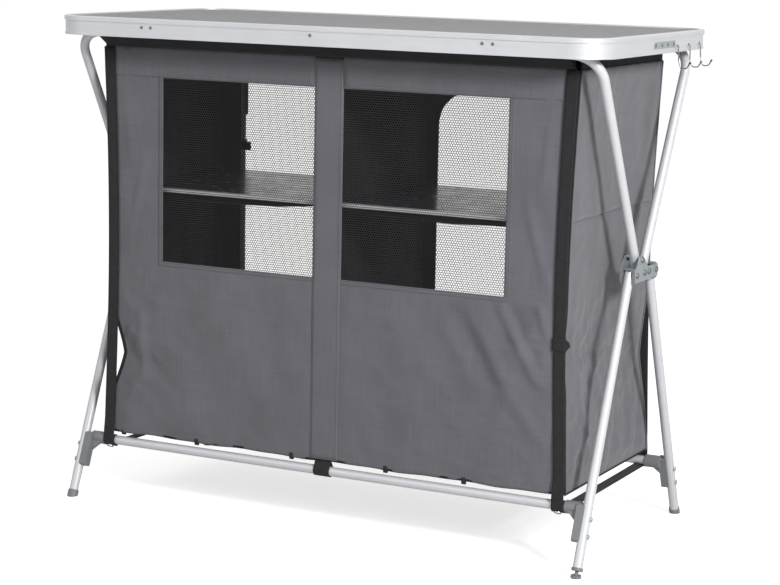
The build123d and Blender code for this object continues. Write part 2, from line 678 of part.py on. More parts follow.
def latch():
    """Spring lever with a pin that reaches through the inner plate's ear."""
    half = LATCH_WIDTH / 2
    outline = (
        (-EAR_RIVET_Y - half, LATCH_BOTTOM_Z), (-EAR_RIVET_Y + half, LATCH_BOTTOM_Z),
        (-EAR_RIVET_Y + half, LATCH_TOP_Z), (-EAR_RIVET_Y - half, LATCH_TOP_Z),
    )
    lever = yz_prism(outline, 3.0, latch_outer_x, latch_face_x)
    pin = rod_x(
        latch_outer_x - 1, SIDE_X - TUBE_R - SOFT_GAP, -EAR_RIVET_Y, EAR_RIVET_Z, LATCH_PIN_R
    )
    head = rod_x(
        latch_outer_x - 2.4, latch_outer_x, -EAR_RIVET_Y, EAR_RIVET_Z, LATCH_PIN_R + 1.7
    )
    return lever - pin, fillet(head.edges().group_by(Axis.X)[0], 1.0) + pin


hub_plates = [
    hub_plate(plate_in_x - PLATE_THICK, plate_in_x, LATCH_HOLE_R),
    hub_plate(plate_out_x, plate_out_x + PLATE_THICK, RIVET_R),
]
hub_blocks = [hub_block(), flip_y(hub_block())]
hub_rivets = [
    hub_rivet(y, z, abs(y) < LOWER_PIVOT_Y - 1) for y, z in pivot_places
] + [ear_stud()]
latch_solids = latch()
save("hub_plates_right", *hub_plates)
save("hub_plates_left", *[flip_x(s) for s in hub_plates])
save("hub_blocks_right", *hub_blocks)
save("hub_blocks_left", *[flip_x(s) for s in hub_blocks])
save("hub_rivets_right", *hub_rivets)
save("hub_rivets_left", *[flip_x(s) for s in hub_rivets])
save("latch_right", *latch_solids)
save("latch_left", *[flip_x(s) for s in latch_solids])

# Fabric box.
# How far each corner is pinched in: depth, height of the pinch and its reach.
CORNER_PINCH = {
    (-1, -1): (34.0, 262.0, 105.0),
    (1, -1): (6.0, 345.0, 60.0),
    (1, 1): (14.0, 290.0, 130.0),
    (-1, 1): (12.0, 290.0, 130.0),
}
SHEET_TOLERANCE = 0.05
SHEET_COLS = 32
SIDE_COLS = 20
SHEET_ROWS = 40


def box_half(z):
    """Half width of the hung box at a height: narrowest near the middle."""
    share = (z - BOX_BOTTOM_Z) / (BOX_TOP_Z - BOX_BOTTOM_Z)
    straight = BOX_HALF_BOTTOM + (BOX_HALF_TOP - BOX_HALF_BOTTOM) * share
    return straight - BOX_WAIST * math.sin(math.pi * share)


def corner_x(side, end, z):
    """X of one corner of the box at a height."""
    depth, height, reach = CORNER_PINCH[(side, end)]
    return side * (box_half(z) - depth * bump(z, height, reach))


def face_fold(x, z):
    """How far the front face stands out of its plane."""
    edge = min(abs(x - corner_x(-1, -1, z)), abs(x - corner_x(1, -1, z)))
    held = smooth_step(70, 190, edge) * smooth_step(60, 150, abs(x))
    low = 1 - smooth_step(330, 420, z)
    hem = smooth_step(BOX_BOTTOM_Z, BOX_BOTTOM_Z + 50, z)
    wave = math.sin(0.021 * abs(x) + 0.011 * z) + 0.6 * math.sin(0.034 * abs(x) - 0.014 * z)
    return FOLD_DEPTH * held * low * hem * wave


def sheet_heights(z0, z1, rows):
    return [z0 + (z1 - z0) * i / rows for i in range(rows + 1)]


def face_grid(end, z0, z1, folded):
    """Grid of points for a front (-1) or rear (1) face."""
    grid = []
    for z in sheet_heights(z0, z1, SHEET_ROWS):
        left = corner_x(-1, end, z)
        right = corner_x(1, end, z)
        row = []
        for i in range(SHEET_COLS + 1):
            x = left + (right - left) * i / SHEET_COLS
            out = face_fold(x, z) if folded else 0.0
            row.append((x, end * (MID_SHEET_Y + out), z))
        grid.append(row)
    return grid


def side_grid(side, z0, z1):
    """Grid of points for a left (-1) or right (1) wall."""
    reach = MID_SHEET_Y - CLOTH / 2 - SOFT_GAP - 0.1
    grid = []
    for z in sheet_heights(z0, z1, SHEET_ROWS):
        row = []
        for i in range(SIDE_COLS + 1):
            y = -reach + 2 * reach * i / SIDE_COLS
            share = smooth_step(-reach, reach, y)
            corner = corner_x(side, -1, z) * (1 - share) + corner_x(side, 1, z) * share
            held = smooth_step(22, 130, reach - abs(y)) * smooth_step(0, 80, z - z0)
            held *= smooth_step(0, 80, z1 - z)
            wave = math.sin(0.030 * y + 0.012 * z) + 0.5 * math.sin(0.045 * y - 0.008 * z)
            inward = CLOTH / 2 + SIDE_FOLD_DEPTH * held * (1.5 + wave)
            row.append((corner - side * inward, y, z))
        grid.append(row)
    return grid


def window_cut(side):
    x0 = side * WINDOW_NEAR_X
    x1 = side * WINDOW_FAR_X
    return block(x0, x1, -BOX_FACE_Y - 30, -BOX_FACE_Y + 30, WINDOW_BOTTOM_Z, WINDOW_TOP_Z)


front_panel = cloth_sheet(face_grid(-1, BOX_BOTTOM_Z, BOX_TOP_Z, True), CLOTH, (0, 1, 0))
front_panel = front_panel - window_cut(-1) - window_cut(1)


def door_outline(side, margin):
    """Door opening in X and Z, grown by a margin, rounded at its two inner corners."""
    near = side * (DOOR_NEAR_X - margin)
    far = side * (DOOR_FAR_X + 40)
    low = DOOR_BOTTOM_Z - margin
    high = DOOR_TOP_Z + margin
    radius = DOOR_CORNER_R + margin
    centre = Pos((near + far) / 2, (low + high) / 2)
    sketch = centre * RectangleRounded(abs(far - near), high - low, radius)
    keep = Pos(side * (DOOR_FAR_X / 2 + 4), (low + high) / 2)
    sketch = sketch & (keep * Rectangle(DOOR_FAR_X - 8, high - low + 2))
    return Plane.XZ * sketch


rear_panel = cloth_sheet(face_grid(1, BOX_BOTTOM_Z, BOX_TOP_Z, False), CLOTH, (0, 1, 0))
for side in (-1, 1):
    opening = extrude(door_outline(side, 0), 30, both=True)
    rear_panel -= Pos(0, BOX_FACE_Y, 0) * opening

save("front_panel", front_panel)
save("rear_panel", rear_panel)
left_grid = side_grid(-1, BOX_BOTTOM_Z, BOX_TOP_Z)
right_grid = side_grid(1, BOX_BOTTOM_Z, BOX_TOP_Z)
save("left_panel", cloth_sheet(left_grid, CLOTH, (1, 0, 0)))
save("right_panel", cloth_sheet(right_grid, CLOTH, (1, 0, 0)))

inner_y = BOX_FACE_Y - CLOTH - SOFT_GAP
floor_x = BOX_HALF_BOTTOM - CLOTH - SOFT_GAP - 1.6
save("floor_panel", block(-floor_x, floor_x, -inner_y, inner_y, BOX_BOTTOM_Z,
                          BOX_BOTTOM_Z + CLOTH))
divider_y = inner_y - MESH_THICK - SOFT_GAP
save("divider_panel", block(-CLOTH / 2, CLOTH / 2, -divider_y, divider_y,
                            BOX_BOTTOM_Z + CLOTH + SOFT_GAP, BOX_TOP_Z - 4))
save("front_centre_strip", block(
    -CENTRE_STRIP_HALF, CENTRE_STRIP_HALF, -BOX_FACE_Y - SOFT_GAP - 0.9,
    -BOX_FACE_Y - SOFT_GAP, BOX_BOTTOM_Z + 2, BOX_TOP_Z - 1,
))


def window_mesh(side):
    """Net behind one window, with open cells."""
    x0 = WINDOW_NEAR_X - MESH_MARGIN
    x1 = WINDOW_FAR_X + MESH_MARGIN
    z0 = WINDOW_BOTTOM_Z - MESH_MARGIN
    z1 = WINDOW_TOP_Z + MESH_MARGIN
    y = -inner_y
    pitch_x = (WINDOW_FAR_X - WINDOW_NEAR_X) / MESH_COLS
    pitch_z = (WINDOW_TOP_Z - WINDOW_BOTTOM_Z) / MESH_ROWS
    outer = Wire.make_polygon([(x0, y, z0), (x1, y, z0), (x1, y, z1), (x0, y, z1)], close=True)
    cells = []
    for col in range(MESH_COLS):
        for row in range(MESH_ROWS):
            left = WINDOW_NEAR_X + col * pitch_x + MESH_CORD / 2
            low = WINDOW_BOTTOM_Z + row * pitch_z + MESH_CORD / 2
            right = left + pitch_x - MESH_CORD
            high = low + pitch_z - MESH_CORD
            corners = [(left, y, low), (right, y, low), (right, y, high), (left, y, high)]
            cells.append(Wire.make_polygon(corners, close=True))
    net = extrude(Face(outer, cells), MESH_THICK, dir=(0, 1, 0))
    return net if side > 0 else flip_x(net)


save("window_mesh_left", window_mesh(-1))
save("window_mesh_right", window_mesh(1))


# Top bands.
def drop_face(centre, radius, tip, tip_radius):
    """Drop outline in Y and Z round a tube, closed at a seam."""
    big = Pos(*centre) * Circle(radius)
    small = Pos(*tip) * Circle(tip_radius)
    return Plane.YZ * make_hull(big.edges() + small.edges())


def drop_ring(centre, inner_r, thickness, tip):
    """Sleeve section: drop outline less a smaller one."""
    outer = drop_face(centre, inner_r + thickness, tip, 1.3)
    dy = centre[0] - tip[0]
    dz = centre[1] - tip[1]
    span = math.hypot(dy, dz)
    inner_tip = (tip[0] + dy / span * 5, tip[1] + dz / span * 5)
    inner = drop_face(centre, inner_r, inner_tip, 0.6)
    return outer - inner


band_tip = (-BOX_FACE_Y + CLOTH / 2, BOX_TOP_Z + 1.3 + SOFT_GAP)
sleeve_face = drop_ring((-RAIL_Y, RAIL_Z), TUBE_R + 0.4, BAND_THICK, band_tip)
sleeve_half = SIDE_X - RAIL_BEND_R - 2
sleeve = extrude(sleeve_face, sleeve_half, both=True)
side_band_half = BOX_FACE_Y - 6
side_band = block(
    BOX_HALF_TOP - CLOTH, BOX_HALF_TOP, -side_band_half, side_band_half,
    BOX_TOP_Z + SOFT_GAP, RAIL_Z + 2,
)
save("top_bands", sleeve, flip_y(sleeve), side_band, flip_x(side_band))

# Shelves.
shelf_low_z = SHELF_TOP_Z - SHELF_THICK
shelf_near_x = CLOTH / 2 + SOFT_GAP
shelf_right = block(
    shelf_near_x, SHELF_FAR_X, -SHELF_FRONT_Y, SHELF_REAR_Y, shelf_low_z, SHELF_TOP_Z
)
trim = block(
    shelf_near_x, SHELF_FAR_X, -SHELF_FRONT_Y - TRIM_WALL, -SHELF_FRONT_Y + TRIM_DEPTH,
    shelf_low_z - TRIM_WALL, SHELF_TOP_Z + TRIM_WALL,
)
trim -= block(
    shelf_near_x - 1, SHELF_FAR_X + 1, -SHELF_FRONT_Y, -SHELF_FRONT_Y + TRIM_DEPTH + 1,
    shelf_low_z, SHELF_TOP_Z,
)


def sling_grid():
    """Cloth that hangs under a shelf board."""
    x0 = shelf_near_x + 2
    x1 = SHELF_FAR_X - 2
    top = shelf_low_z - TRIM_WALL - SOFT_GAP - CLOTH / 2
    grid = []
    for j in range(9):
        y = -SHELF_FRONT_Y + 2 + (SHELF_FRONT_Y + SHELF_REAR_Y - 4) * j / 8
        row = []
        for i in range(17):
            share = i / 16
            row.append((x0 + (x1 - x0) * share, y, top - SLING_SAG * math.sin(math.pi * share)))
        grid.append(row)
    return grid


sling = cloth_sheet(sling_grid(), CLOTH, (0, 0, 1))
save("shelf_board_right", shelf_right)
save("shelf_board_left", flip_x(shelf_right))
save("shelf_trim_right", trim)
save("shelf_trim_left", flip_x(trim))
save("shelf_sling_right", sling)
save("shelf_sling_left", flip_x(sling))

# Doors, zips, pulls.
tie_inner_r = ROLL_START_R + ROLL_TURNS * ROLL_PITCH + ROLL_CLOTH / 2 + SOFT_GAP
roll_y = BOX_FACE_Y + SOFT_GAP + tie_inner_r + TIE_THICK


def rolled_door():
    """Door cloth rolled up on itself, seen from above as a spiral."""
    steps = 24 * ROLL_TURNS
    outer = []
    inner = []
    for i in range(steps + 1):
        angle = 2 * math.pi * ROLL_TURNS * i / steps - math.pi / 2
        radius = ROLL_START_R + ROLL_PITCH * ROLL_TURNS * i / steps
        c, s = math.cos(angle), math.sin(angle)
        outer.append((ROLL_X + (radius + ROLL_CLOTH / 2) * c, roll_y + (radius + ROLL_CLOTH / 2) * s))
        inner.append((ROLL_X + (radius - ROLL_CLOTH / 2) * c, roll_y + (radius - ROLL_CLOTH / 2) * s))
    edge_out = Spline(*outer)
    edge_in = Spline(*inner)
    ends = [Line(outer[0], inner[0]), Line(outer[-1], inner[-1])]
    face = make_face([edge_out, edge_in] + ends)
    return extrude(Pos(0, 0, DOOR_BOTTOM_Z) * face, DOOR_TOP_Z - DOOR_BOTTOM_Z)


def tie(z):
    ring = Circle(tie_inner_r + TIE_THICK) - Circle(tie_inner_r)
    return extrude(Pos(ROLL_X, roll_y, z) * ring, TIE_WIDTH)


door = rolled_door()
ties = [tie(DOOR_BOTTOM_Z + 110), tie(DOOR_TOP_Z - 130)]
save("rolled_door_right", door)
save("rolled_door_left", flip_x(door))
save("door_ties", *ties, *[flip_x(t) for t in ties])

zip_bands = []
for side in (-1, 1):
    tape = door_outline(side, ZIP_WIDTH) - door_outline(side, 1.0)
    tape = extrude(tape, -1.0)
    zip_bands.append(Pos(0, BOX_FACE_Y + SOFT_GAP, 0) * tape)
slider_x = DOOR_FAR_X - 14
slider_y = inner_y
slider = block(slider_x - 5, slider_x + 5, slider_y - 4, slider_y, SLIDER_Z + 13, SLIDER_Z + 27)
slider_pin = rod_y(slider_y - 6.4, slider_y - 4, slider_x, SLIDER_Z + 17, 1.4)
slider = slider + slider_pin
pull = block(slider_x - 4, slider_x + 4, slider_y - 6.1, slider_y - 4.3,
             SLIDER_Z + 20 - PULL_LENGTH, SLIDER_Z + 20)
pull = fillet(pull.edges().filter_by(Axis.Y), 2.0)
pull -= rod_y(slider_y - 7, slider_y - 3, slider_x, SLIDER_Z + 17, 1.4 + RIVET_FIT)
save("door_zips", *zip_bands, slider, flip_x(slider))
save("zip_pull_right", pull)
save("zip_pull_left", flip_x(pull))


# Webbing.
strap_ring_r = TUBE_R + SOFT_GAP + UNDER_STRAP_THICK + SOFT_GAP + STRAP_THICK / 2
strap_y = BOX_FACE_Y + 2 * SOFT_GAP + BINDING_THICK + STRAP_THICK / 2

strap_join_z = BOX_BOTTOM_Z + 32


def strap_run():
    """Long upper run of the webbing, bowed towards the middle of the box."""
    grid = []
    for z in sheet_heights(strap_join_z, BOX_TOP_Z - 2, 20):
        share = (z - strap_join_z) / (BOX_TOP_Z - strap_join_z)
        middle = STRAP_X - STRAP_BOW * math.sin(math.pi * share)
        row = [(middle + STRAP_WIDTH * (i / 4 - 0.5), -strap_y, z) for i in range(5)]
        grid.append(row)
    return cloth_sheet(grid, STRAP_THICK, (0, 1, 0))


def strap_loop():
    """Lower end of the webbing, wrapped round the front of the bottom bar."""
    start = (-strap_y, strap_join_z)
    top = (-BAR_Y - strap_ring_r, BAR_Z + 8)
    side = (-BAR_Y - strap_ring_r, BAR_Z)
    under = (-BAR_Y, BAR_Z - strap_ring_r)
    ease = Spline(start, top, tangents=[(0, -1), (0, -1)])
    drop = Line(top, side)
    front_arc = TangentArc(side, under, tangent=(0, -1))
    line = Plane.YZ * Curve([*ease.edges(), *drop.edges(), *front_arc.edges()])
    section = Plane(origin=(0, *start), z_dir=(0, 0, -1)) * Rectangle(STRAP_WIDTH, STRAP_THICK)
    loop = sweep(section, path=Wire(line.edges()))
    return Pos(STRAP_X, 0, 0) * loop


def strap():
    return strap_run() + strap_loop()


strap_right = strap()
straps_front = [strap_right, flip_x(strap_right)]
save("corner_straps", *straps_front, *[flip_y(s) for s in straps_front])

under_inner = TUBE_R + SOFT_GAP
under_outer = under_inner + UNDER_STRAP_THICK


def belt_face(radius):
    front = Pos(-BAR_Y, BAR_Z) * Circle(radius)
    rear = Pos(BAR_Y, BAR_Z) * Circle(radius)
    return Plane.YZ * make_hull(front.edges() + rear.edges())


belt = extrude(belt_face(under_outer) - belt_face(under_inner), UNDER_STRAP_WIDTH / 2, both=True)
belt = Pos(UNDER_STRAP_X, 0, 0) * belt
belt -= block(UNDER_STRAP_X - UNDER_STRAP_WIDTH, UNDER_STRAP_X + UNDER_STRAP_WIDTH,
              -BAR_Y + 14, BAR_Y - 14, BAR_Z, BAR_Z + 40)
save("under_straps", belt, flip_x(belt))

loop_tip = (-BOX_FACE_Y + 3.0, BOX_BOTTOM_Z - SOFT_GAP - 1.3)
loop_face = drop_ring((-BAR_Y, BAR_Z), under_inner, UNDER_STRAP_THICK, loop_tip)
loop = Pos(BAR_LOOP_X, 0, 0) * extrude(loop_face, BAR_LOOP_WIDTH / 2, both=True)
save("bar_loops", loop, flip_y(loop))

snap_angle = math.radians(242)
snap_r = strap_ring_r + STRAP_THICK / 2 + SOFT_GAP
snap_plane = Plane(
    origin=(STRAP_X, -BAR_Y + snap_r * math.cos(snap_angle), BAR_Z + snap_r * math.sin(snap_angle)),
    z_dir=(0, math.cos(snap_angle), math.sin(snap_angle)),
)
snap = extrude(Circle(SNAP_R), 2.0)
snap = snap_plane * fillet(snap.edges().group_by(Axis.Z)[-1], 0.9)
snaps_front = [snap, flip_x(snap)]
save("strap_snaps", *snaps_front, *[flip_y(s) for s in snaps_front])


def binding(side, end):
    """Tape folded round one upright corner of the box."""
    gap = SOFT_GAP + BINDING_THICK / 2
    heights = sheet_heights(BOX_BOTTOM_Z, BOX_TOP_Z, SHEET_ROWS)
    face_flap = []
    side_flap = []
    for z in heights:
        edge = abs(corner_x(side, end, z))
        outer = edge + SOFT_GAP + BINDING_THICK
        face_xs = [edge - BINDING_WIDTH + (outer - edge + BINDING_WIDTH) * i / 4 for i in range(5)]
        face_flap.append([(side * x, end * (BOX_FACE_Y + gap), z) for x in face_xs])
        side_ys = [BOX_FACE_Y + gap - (BINDING_WIDTH + gap) * i / 4 for i in range(5)]
        side_flap.append([(side * (edge + gap), end * y, z) for y in side_ys])
    flap = cloth_sheet(face_flap, BINDING_THICK, (0, 1, 0))
    return flap + cloth_sheet(side_flap, BINDING_THICK, (1, 0, 0))


save("corner_bindings", *[binding(s, e) for s in (-1, 1) for e in (-1, 1)])
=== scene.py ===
import math

import bpy
import numpy as np
from mathutils import Matrix


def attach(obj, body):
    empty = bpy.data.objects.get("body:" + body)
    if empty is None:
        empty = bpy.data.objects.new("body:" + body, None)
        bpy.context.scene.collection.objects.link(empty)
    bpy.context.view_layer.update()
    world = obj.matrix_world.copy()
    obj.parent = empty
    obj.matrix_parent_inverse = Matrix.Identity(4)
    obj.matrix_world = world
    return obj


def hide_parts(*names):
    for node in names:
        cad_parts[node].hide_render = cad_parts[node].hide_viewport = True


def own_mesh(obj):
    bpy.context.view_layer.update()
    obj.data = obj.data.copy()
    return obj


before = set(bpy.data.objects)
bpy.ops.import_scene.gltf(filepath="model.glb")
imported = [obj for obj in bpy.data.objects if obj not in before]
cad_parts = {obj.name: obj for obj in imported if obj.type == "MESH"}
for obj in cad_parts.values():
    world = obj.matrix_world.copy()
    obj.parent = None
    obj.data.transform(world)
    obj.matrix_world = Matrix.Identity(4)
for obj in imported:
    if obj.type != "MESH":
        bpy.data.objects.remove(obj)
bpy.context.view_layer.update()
scene = bpy.context.scene

# Places are in millimetres about the middle of the tabletop. SHIFT_X moves them to the
# frame, whose origin is on the floor under the middle of the whole box.
SHIFT_X = -11.45

SIDES = ((-1, "left"), (1, "right"))
ENDS = ((-1, "front"), (1, "rear"))
CORNERS = [(sx, sy, f"{end}_{hand}") for sx, hand in SIDES for sy, end in ENDS]

# Fabric box
BOX_TOP = 796.0
BOX_BOTTOM = 118.0
BOX_FACE = 184.0
SHEET_Y = 183.4
SHEET_HALF = 443.0
SIDE_REACH = 182.4
WINDOW_NEAR = 27.0
WINDOW_FAR = 324.0
WINDOW_LOW = 430.0
WINDOW_HIGH = 747.0
DOOR_NEAR = 24.0
DOOR_FAR = 388.0
DOOR_LOW = 150.0
DOOR_HIGH = 722.0
DOOR_R = 60.0

# How far, at what height and over what reach each upright corner is drawn in
PINCH = {
    (-1, -1): (34.0, 262.0, 105.0),
    (1, -1): (6.0, 345.0, 60.0),
    (1, 1): (14.0, 290.0, 130.0),
    (-1, 1): (12.0, 290.0, 130.0),
}

# Frame places that the fabric hangs from, in y and z
RAIL = (205.5, 822.0)
BAR = (180.7, 100.0)

# Cloth details
HEM_SAG = 0.9
HEM_POINTS = 150
STRIP_HALF = 26.0
STRIP_STITCH = 22.5
YOKE_TOP = 799.0
BAND_X = 442.3
SLING_NEAR, SLING_FAR, SLING_Z = 3.0, 424.0, 549.3
ROLL_X, ROLL_Y, ROLL_TURNS = 401.0, 199.0, 7.5
TIE_LOW, TIE_HIGH, TIE_R = 268.0, 600.0, 13.9
NET_COLS = 70
NET_ROWS = 86
NET_HOLE = 0.73
SEAM_HEIGHTS = (556.0, 330.0)
STRAP_X = 431.0
STRAP_WIDTH = 21.0
STRAP_TOP, STRAP_LOW, STRAP_Y = 797.0, 150.0, 186.6


# Maths helpers
def ramp(low, high, value):
    t = np.clip((value - low) / (high - low), 0, 1)
    return t * t * (3 - 2 * t)


def bump(value, middle, reach):
    t = np.clip((value - middle) / reach, -1, 1)
    return 0.5 * (1 + np.cos(np.pi * t))


def crease(x, z, start, end, width, height):
    """Ridge (or valley) along a line on a sheet, dying away at both ends."""
    dx, dz = end[0] - start[0], end[1] - start[1]
    span = math.hypot(dx, dz)
    along = ((x - start[0]) * dx + (z - start[1]) * dz) / span**2
    off = ((x - start[0]) * dz - (z - start[1]) * dx) / span
    taper = np.sin(np.pi * np.clip(along, 0, 1)) ** 0.7
    return height * taper * np.exp(-((off / width) ** 2))


def box_half(z):
    share = (z - BOX_BOTTOM) / (BOX_TOP - BOX_BOTTOM)
    return 441.0 + 2.0 * share - 9.0 * np.sin(np.pi * share)


def corner_x(side, end, z):
    """X of an upright corner, drawn in to a soft point at its pinch."""
    depth, height, reach = PINCH[(side, end)]
    point = (1 - np.clip(np.abs(z - height) / (1.15 * reach), 0, 1)) ** 1.2
    return side * (box_half(z) - depth * (0.6 * point + 0.4 * bump(z, height, reach)))


def rumple(u, v, seed, size):
    """Sharp-crested creases crossing at chance angles, between 0 and 1."""
    chance = np.random.default_rng(seed)
    total = 0.0
    for _ in range(6):
        angle = chance.uniform(0, math.pi)
        turns = math.pi / (size * chance.uniform(0.6, 1.5))
        phase = chance.uniform(0, 2 * math.pi)
        along = (u * math.cos(angle) + v * math.sin(angle)) * turns
        across = (v * math.cos(angle) - u * math.sin(angle)) * turns
        bend = 0.9 * np.sin(0.6 * across + phase)
        total = total + (1 - np.abs(np.sin(along + phase + bend))) ** 2
    return total / 6


def steps(*marks, gap=6.0):
    """Rising values that hit every mark, about one gap apart."""
    values = [marks[0]]
    for low, high in zip(marks, marks[1:]):
        count = max(1, round((high - low) / gap))
        values += [low + (high - low) * i / count for i in range(1, count + 1)]
    return np.array(values)


def run_length(path):
    """Distance along a path at each of its points."""
    return np.concatenate([[0], np.cumsum(np.linalg.norm(np.diff(path, axis=0), axis=1))])


def drop_line(centre, tip, r, around, lead):
    """Line from a tip round a circle and back, meeting the circle at its tangents."""
    centre, tip = np.array(centre), np.array(tip)
    d = tip - centre
    base = math.atan2(d[1], d[0])
    half = math.acos(r / np.linalg.norm(d))
    angles = np.linspace(base + half, base + 2 * math.pi - half, around)
    ring = centre + r * np.stack([np.cos(angles), np.sin(angles)], -1)
    first = tip + (ring[0] - tip) * np.linspace(0, 1, lead)[:-1, None]
    last = ring[-1] + (tip - ring[-1]) * np.linspace(0, 1, lead)[1:, None]
    return np.concatenate([first, ring, last])


# Mesh helpers
def add_mesh(name, points, faces, look, uvs=None, smooth=True):
    """Mesh from millimetre points, with cloth coordinates in metres."""
    place = np.array(points, float).reshape(-1, 3)
    place[:, 0] += SHIFT_X
    mesh = bpy.data.meshes.new(name)
    mesh.from_pydata((place / 1000).tolist(), [], [[int(i) for i in f] for f in faces])
    if uvs is None:
        uvs = np.array(points, float).reshape(-1, 3)[:, [0, 2]]
    corners = np.zeros(len(mesh.loops), np.int32)
    mesh.loops.foreach_get("vertex_index", corners)
    layer = mesh.uv_layers.new(name="cloth")
    layer.data.foreach_set("uv", (np.asarray(uvs, float)[corners] / 1000).ravel())
    mesh.polygons.foreach_set("use_smooth", [smooth] * len(mesh.polygons))
    mesh.materials.append(look)
    mesh.update()
    obj = bpy.data.objects.new(name, mesh)
    scene.collection.objects.link(obj)
    return obj


def thicken(obj, thickness):
    modifier = obj.modifiers.new("thickness", "SOLIDIFY")
    modifier.thickness = thickness / 1000
    modifier.offset = 0.0
    return obj


def grid_sheet(name, us, vs, place, look, keep=None, thickness=1.0, lining=None, flip=False):
    """Sheet over a grid of two parameters, with cells left out where keep is false.

    A lining is the material of the face behind; flip turns the front face round.
    """
    u, v = np.meshgrid(us, vs, indexing="ij")
    points = np.stack(np.broadcast_arrays(*place(u, v)), -1).reshape(-1, 3)
    uvs = np.stack([u, v], -1).reshape(-1, 2)
    index = np.arange(len(us) * len(vs)).reshape(len(us), len(vs))
    quads = np.stack([index[:-1, :-1], index[1:, :-1], index[1:, 1:], index[:-1, 1:]], -1)
    if keep is None:
        quads = quads.reshape(-1, 4)
    else:
        mid_u = (u[:-1, :-1] + u[1:, 1:]) / 2
        mid_v = (v[:-1, :-1] + v[1:, 1:]) / 2
        quads = quads[keep(mid_u, mid_v)]
    used, packed = np.unique(quads, return_inverse=True)
    packed = packed.reshape(-1, 4)
    if flip:
        packed = packed[:, ::-1]
    obj = thicken(add_mesh(name, points[used], packed, look, uvs[used]), thickness)
    if lining:
        obj.data.materials.append(lining)
        obj.modifiers["thickness"].material_offset = 1
    return obj


def tape_mesh(name, rows, pitch, marks, look, order=1):
    """Tape through rows of points a pitch apart, with marks the distances along it."""
    n = len(marks)
    faces = [
        (j * n + i, (j + 1) * n + i, (j + 1) * n + i + 1, j * n + i + 1)[::order]
        for j in range(len(rows) - 1) for i in range(n - 1)
    ]
    uvs = [np.stack([np.full(n, pitch * j), marks], -1) for j in range(len(rows))]
    return add_mesh(name, np.concatenate(rows), faces, look, np.concatenate(uvs))


def ribbon(name, path, across, width, look, thickness=1.2, cols=4):
    """Flat strap along a path of points; across is its width direction."""
    path = np.asarray(path, float)
    across = np.asarray(across, float) * width
    rows = [path + across * (j / cols - 0.5) for j in range(cols + 1)]
    return thicken(tape_mesh(name, rows, width / cols, run_length(path), look), thickness)


def join(name, *objs):
    """One piece out of several meshes that share their modifiers."""
    bpy.ops.object.select_all(action="DESELECT")
    for obj in objs:
        obj.select_set(True)
    bpy.context.view_layer.objects.active = objs[0]
    bpy.ops.object.join()
    objs[0].name = name
    objs[0].data.name = name
    return objs[0]


class Threads:
    """Sewn stitches gathered into one mesh."""

    def __init__(self):
        self.points, self.faces, self.uvs = [], [], []

    def sew(self, path, out, pitch=4.2, length=3.0, radius=0.34):
        """Stitches along a path of points, standing out of the cloth towards out."""
        path = np.asarray(path, float)
        run = run_length(path)
        out = np.asarray(out, float)
        for start in np.arange(0.5, run[-1] - length, pitch):
            marks = start + length * np.array([0.0, 0.25, 0.75, 1.0])
            centre = np.stack([np.interp(marks, run, path[:, k]) for k in range(3)], -1)
            lift = np.array([-0.2, 0.25, 0.25, -0.2])[:, None] * out
            along = centre[-1] - centre[0]
            side = np.cross(along, out)
            side = side / (np.linalg.norm(side) + 1e-9)
            base = len(self.points)
            for k in range(4):
                for angle in (0, 1.57, 3.14, 4.71):
                    ring = side * math.cos(angle) + out * math.sin(angle)
                    self.points.append(centre[k] + lift[k] + ring * radius)
                    self.uvs.append((angle, marks[k]))
            for k in range(3):
                for a in range(4):
                    b = (a + 1) % 4
                    first, second = base + 4 * k, base + 4 * k + 4
                    self.faces.append((first + a, first + b, second + b, second + a))

    def piece(self, name, look):
        return add_mesh(name, self.points, self.faces, look, self.uvs)


# Materials
def maths_node(tree, kind, a, b):
    """Math node over two sockets or numbers."""
    node = tree.nodes.new("ShaderNodeMath")
    node.operation = kind
    for socket, value in zip(node.inputs, (a, b)):
        if isinstance(value, (int, float)):
            socket.default_value = value
        else:
            tree.links.new(value, socket)
    return node.outputs[0]


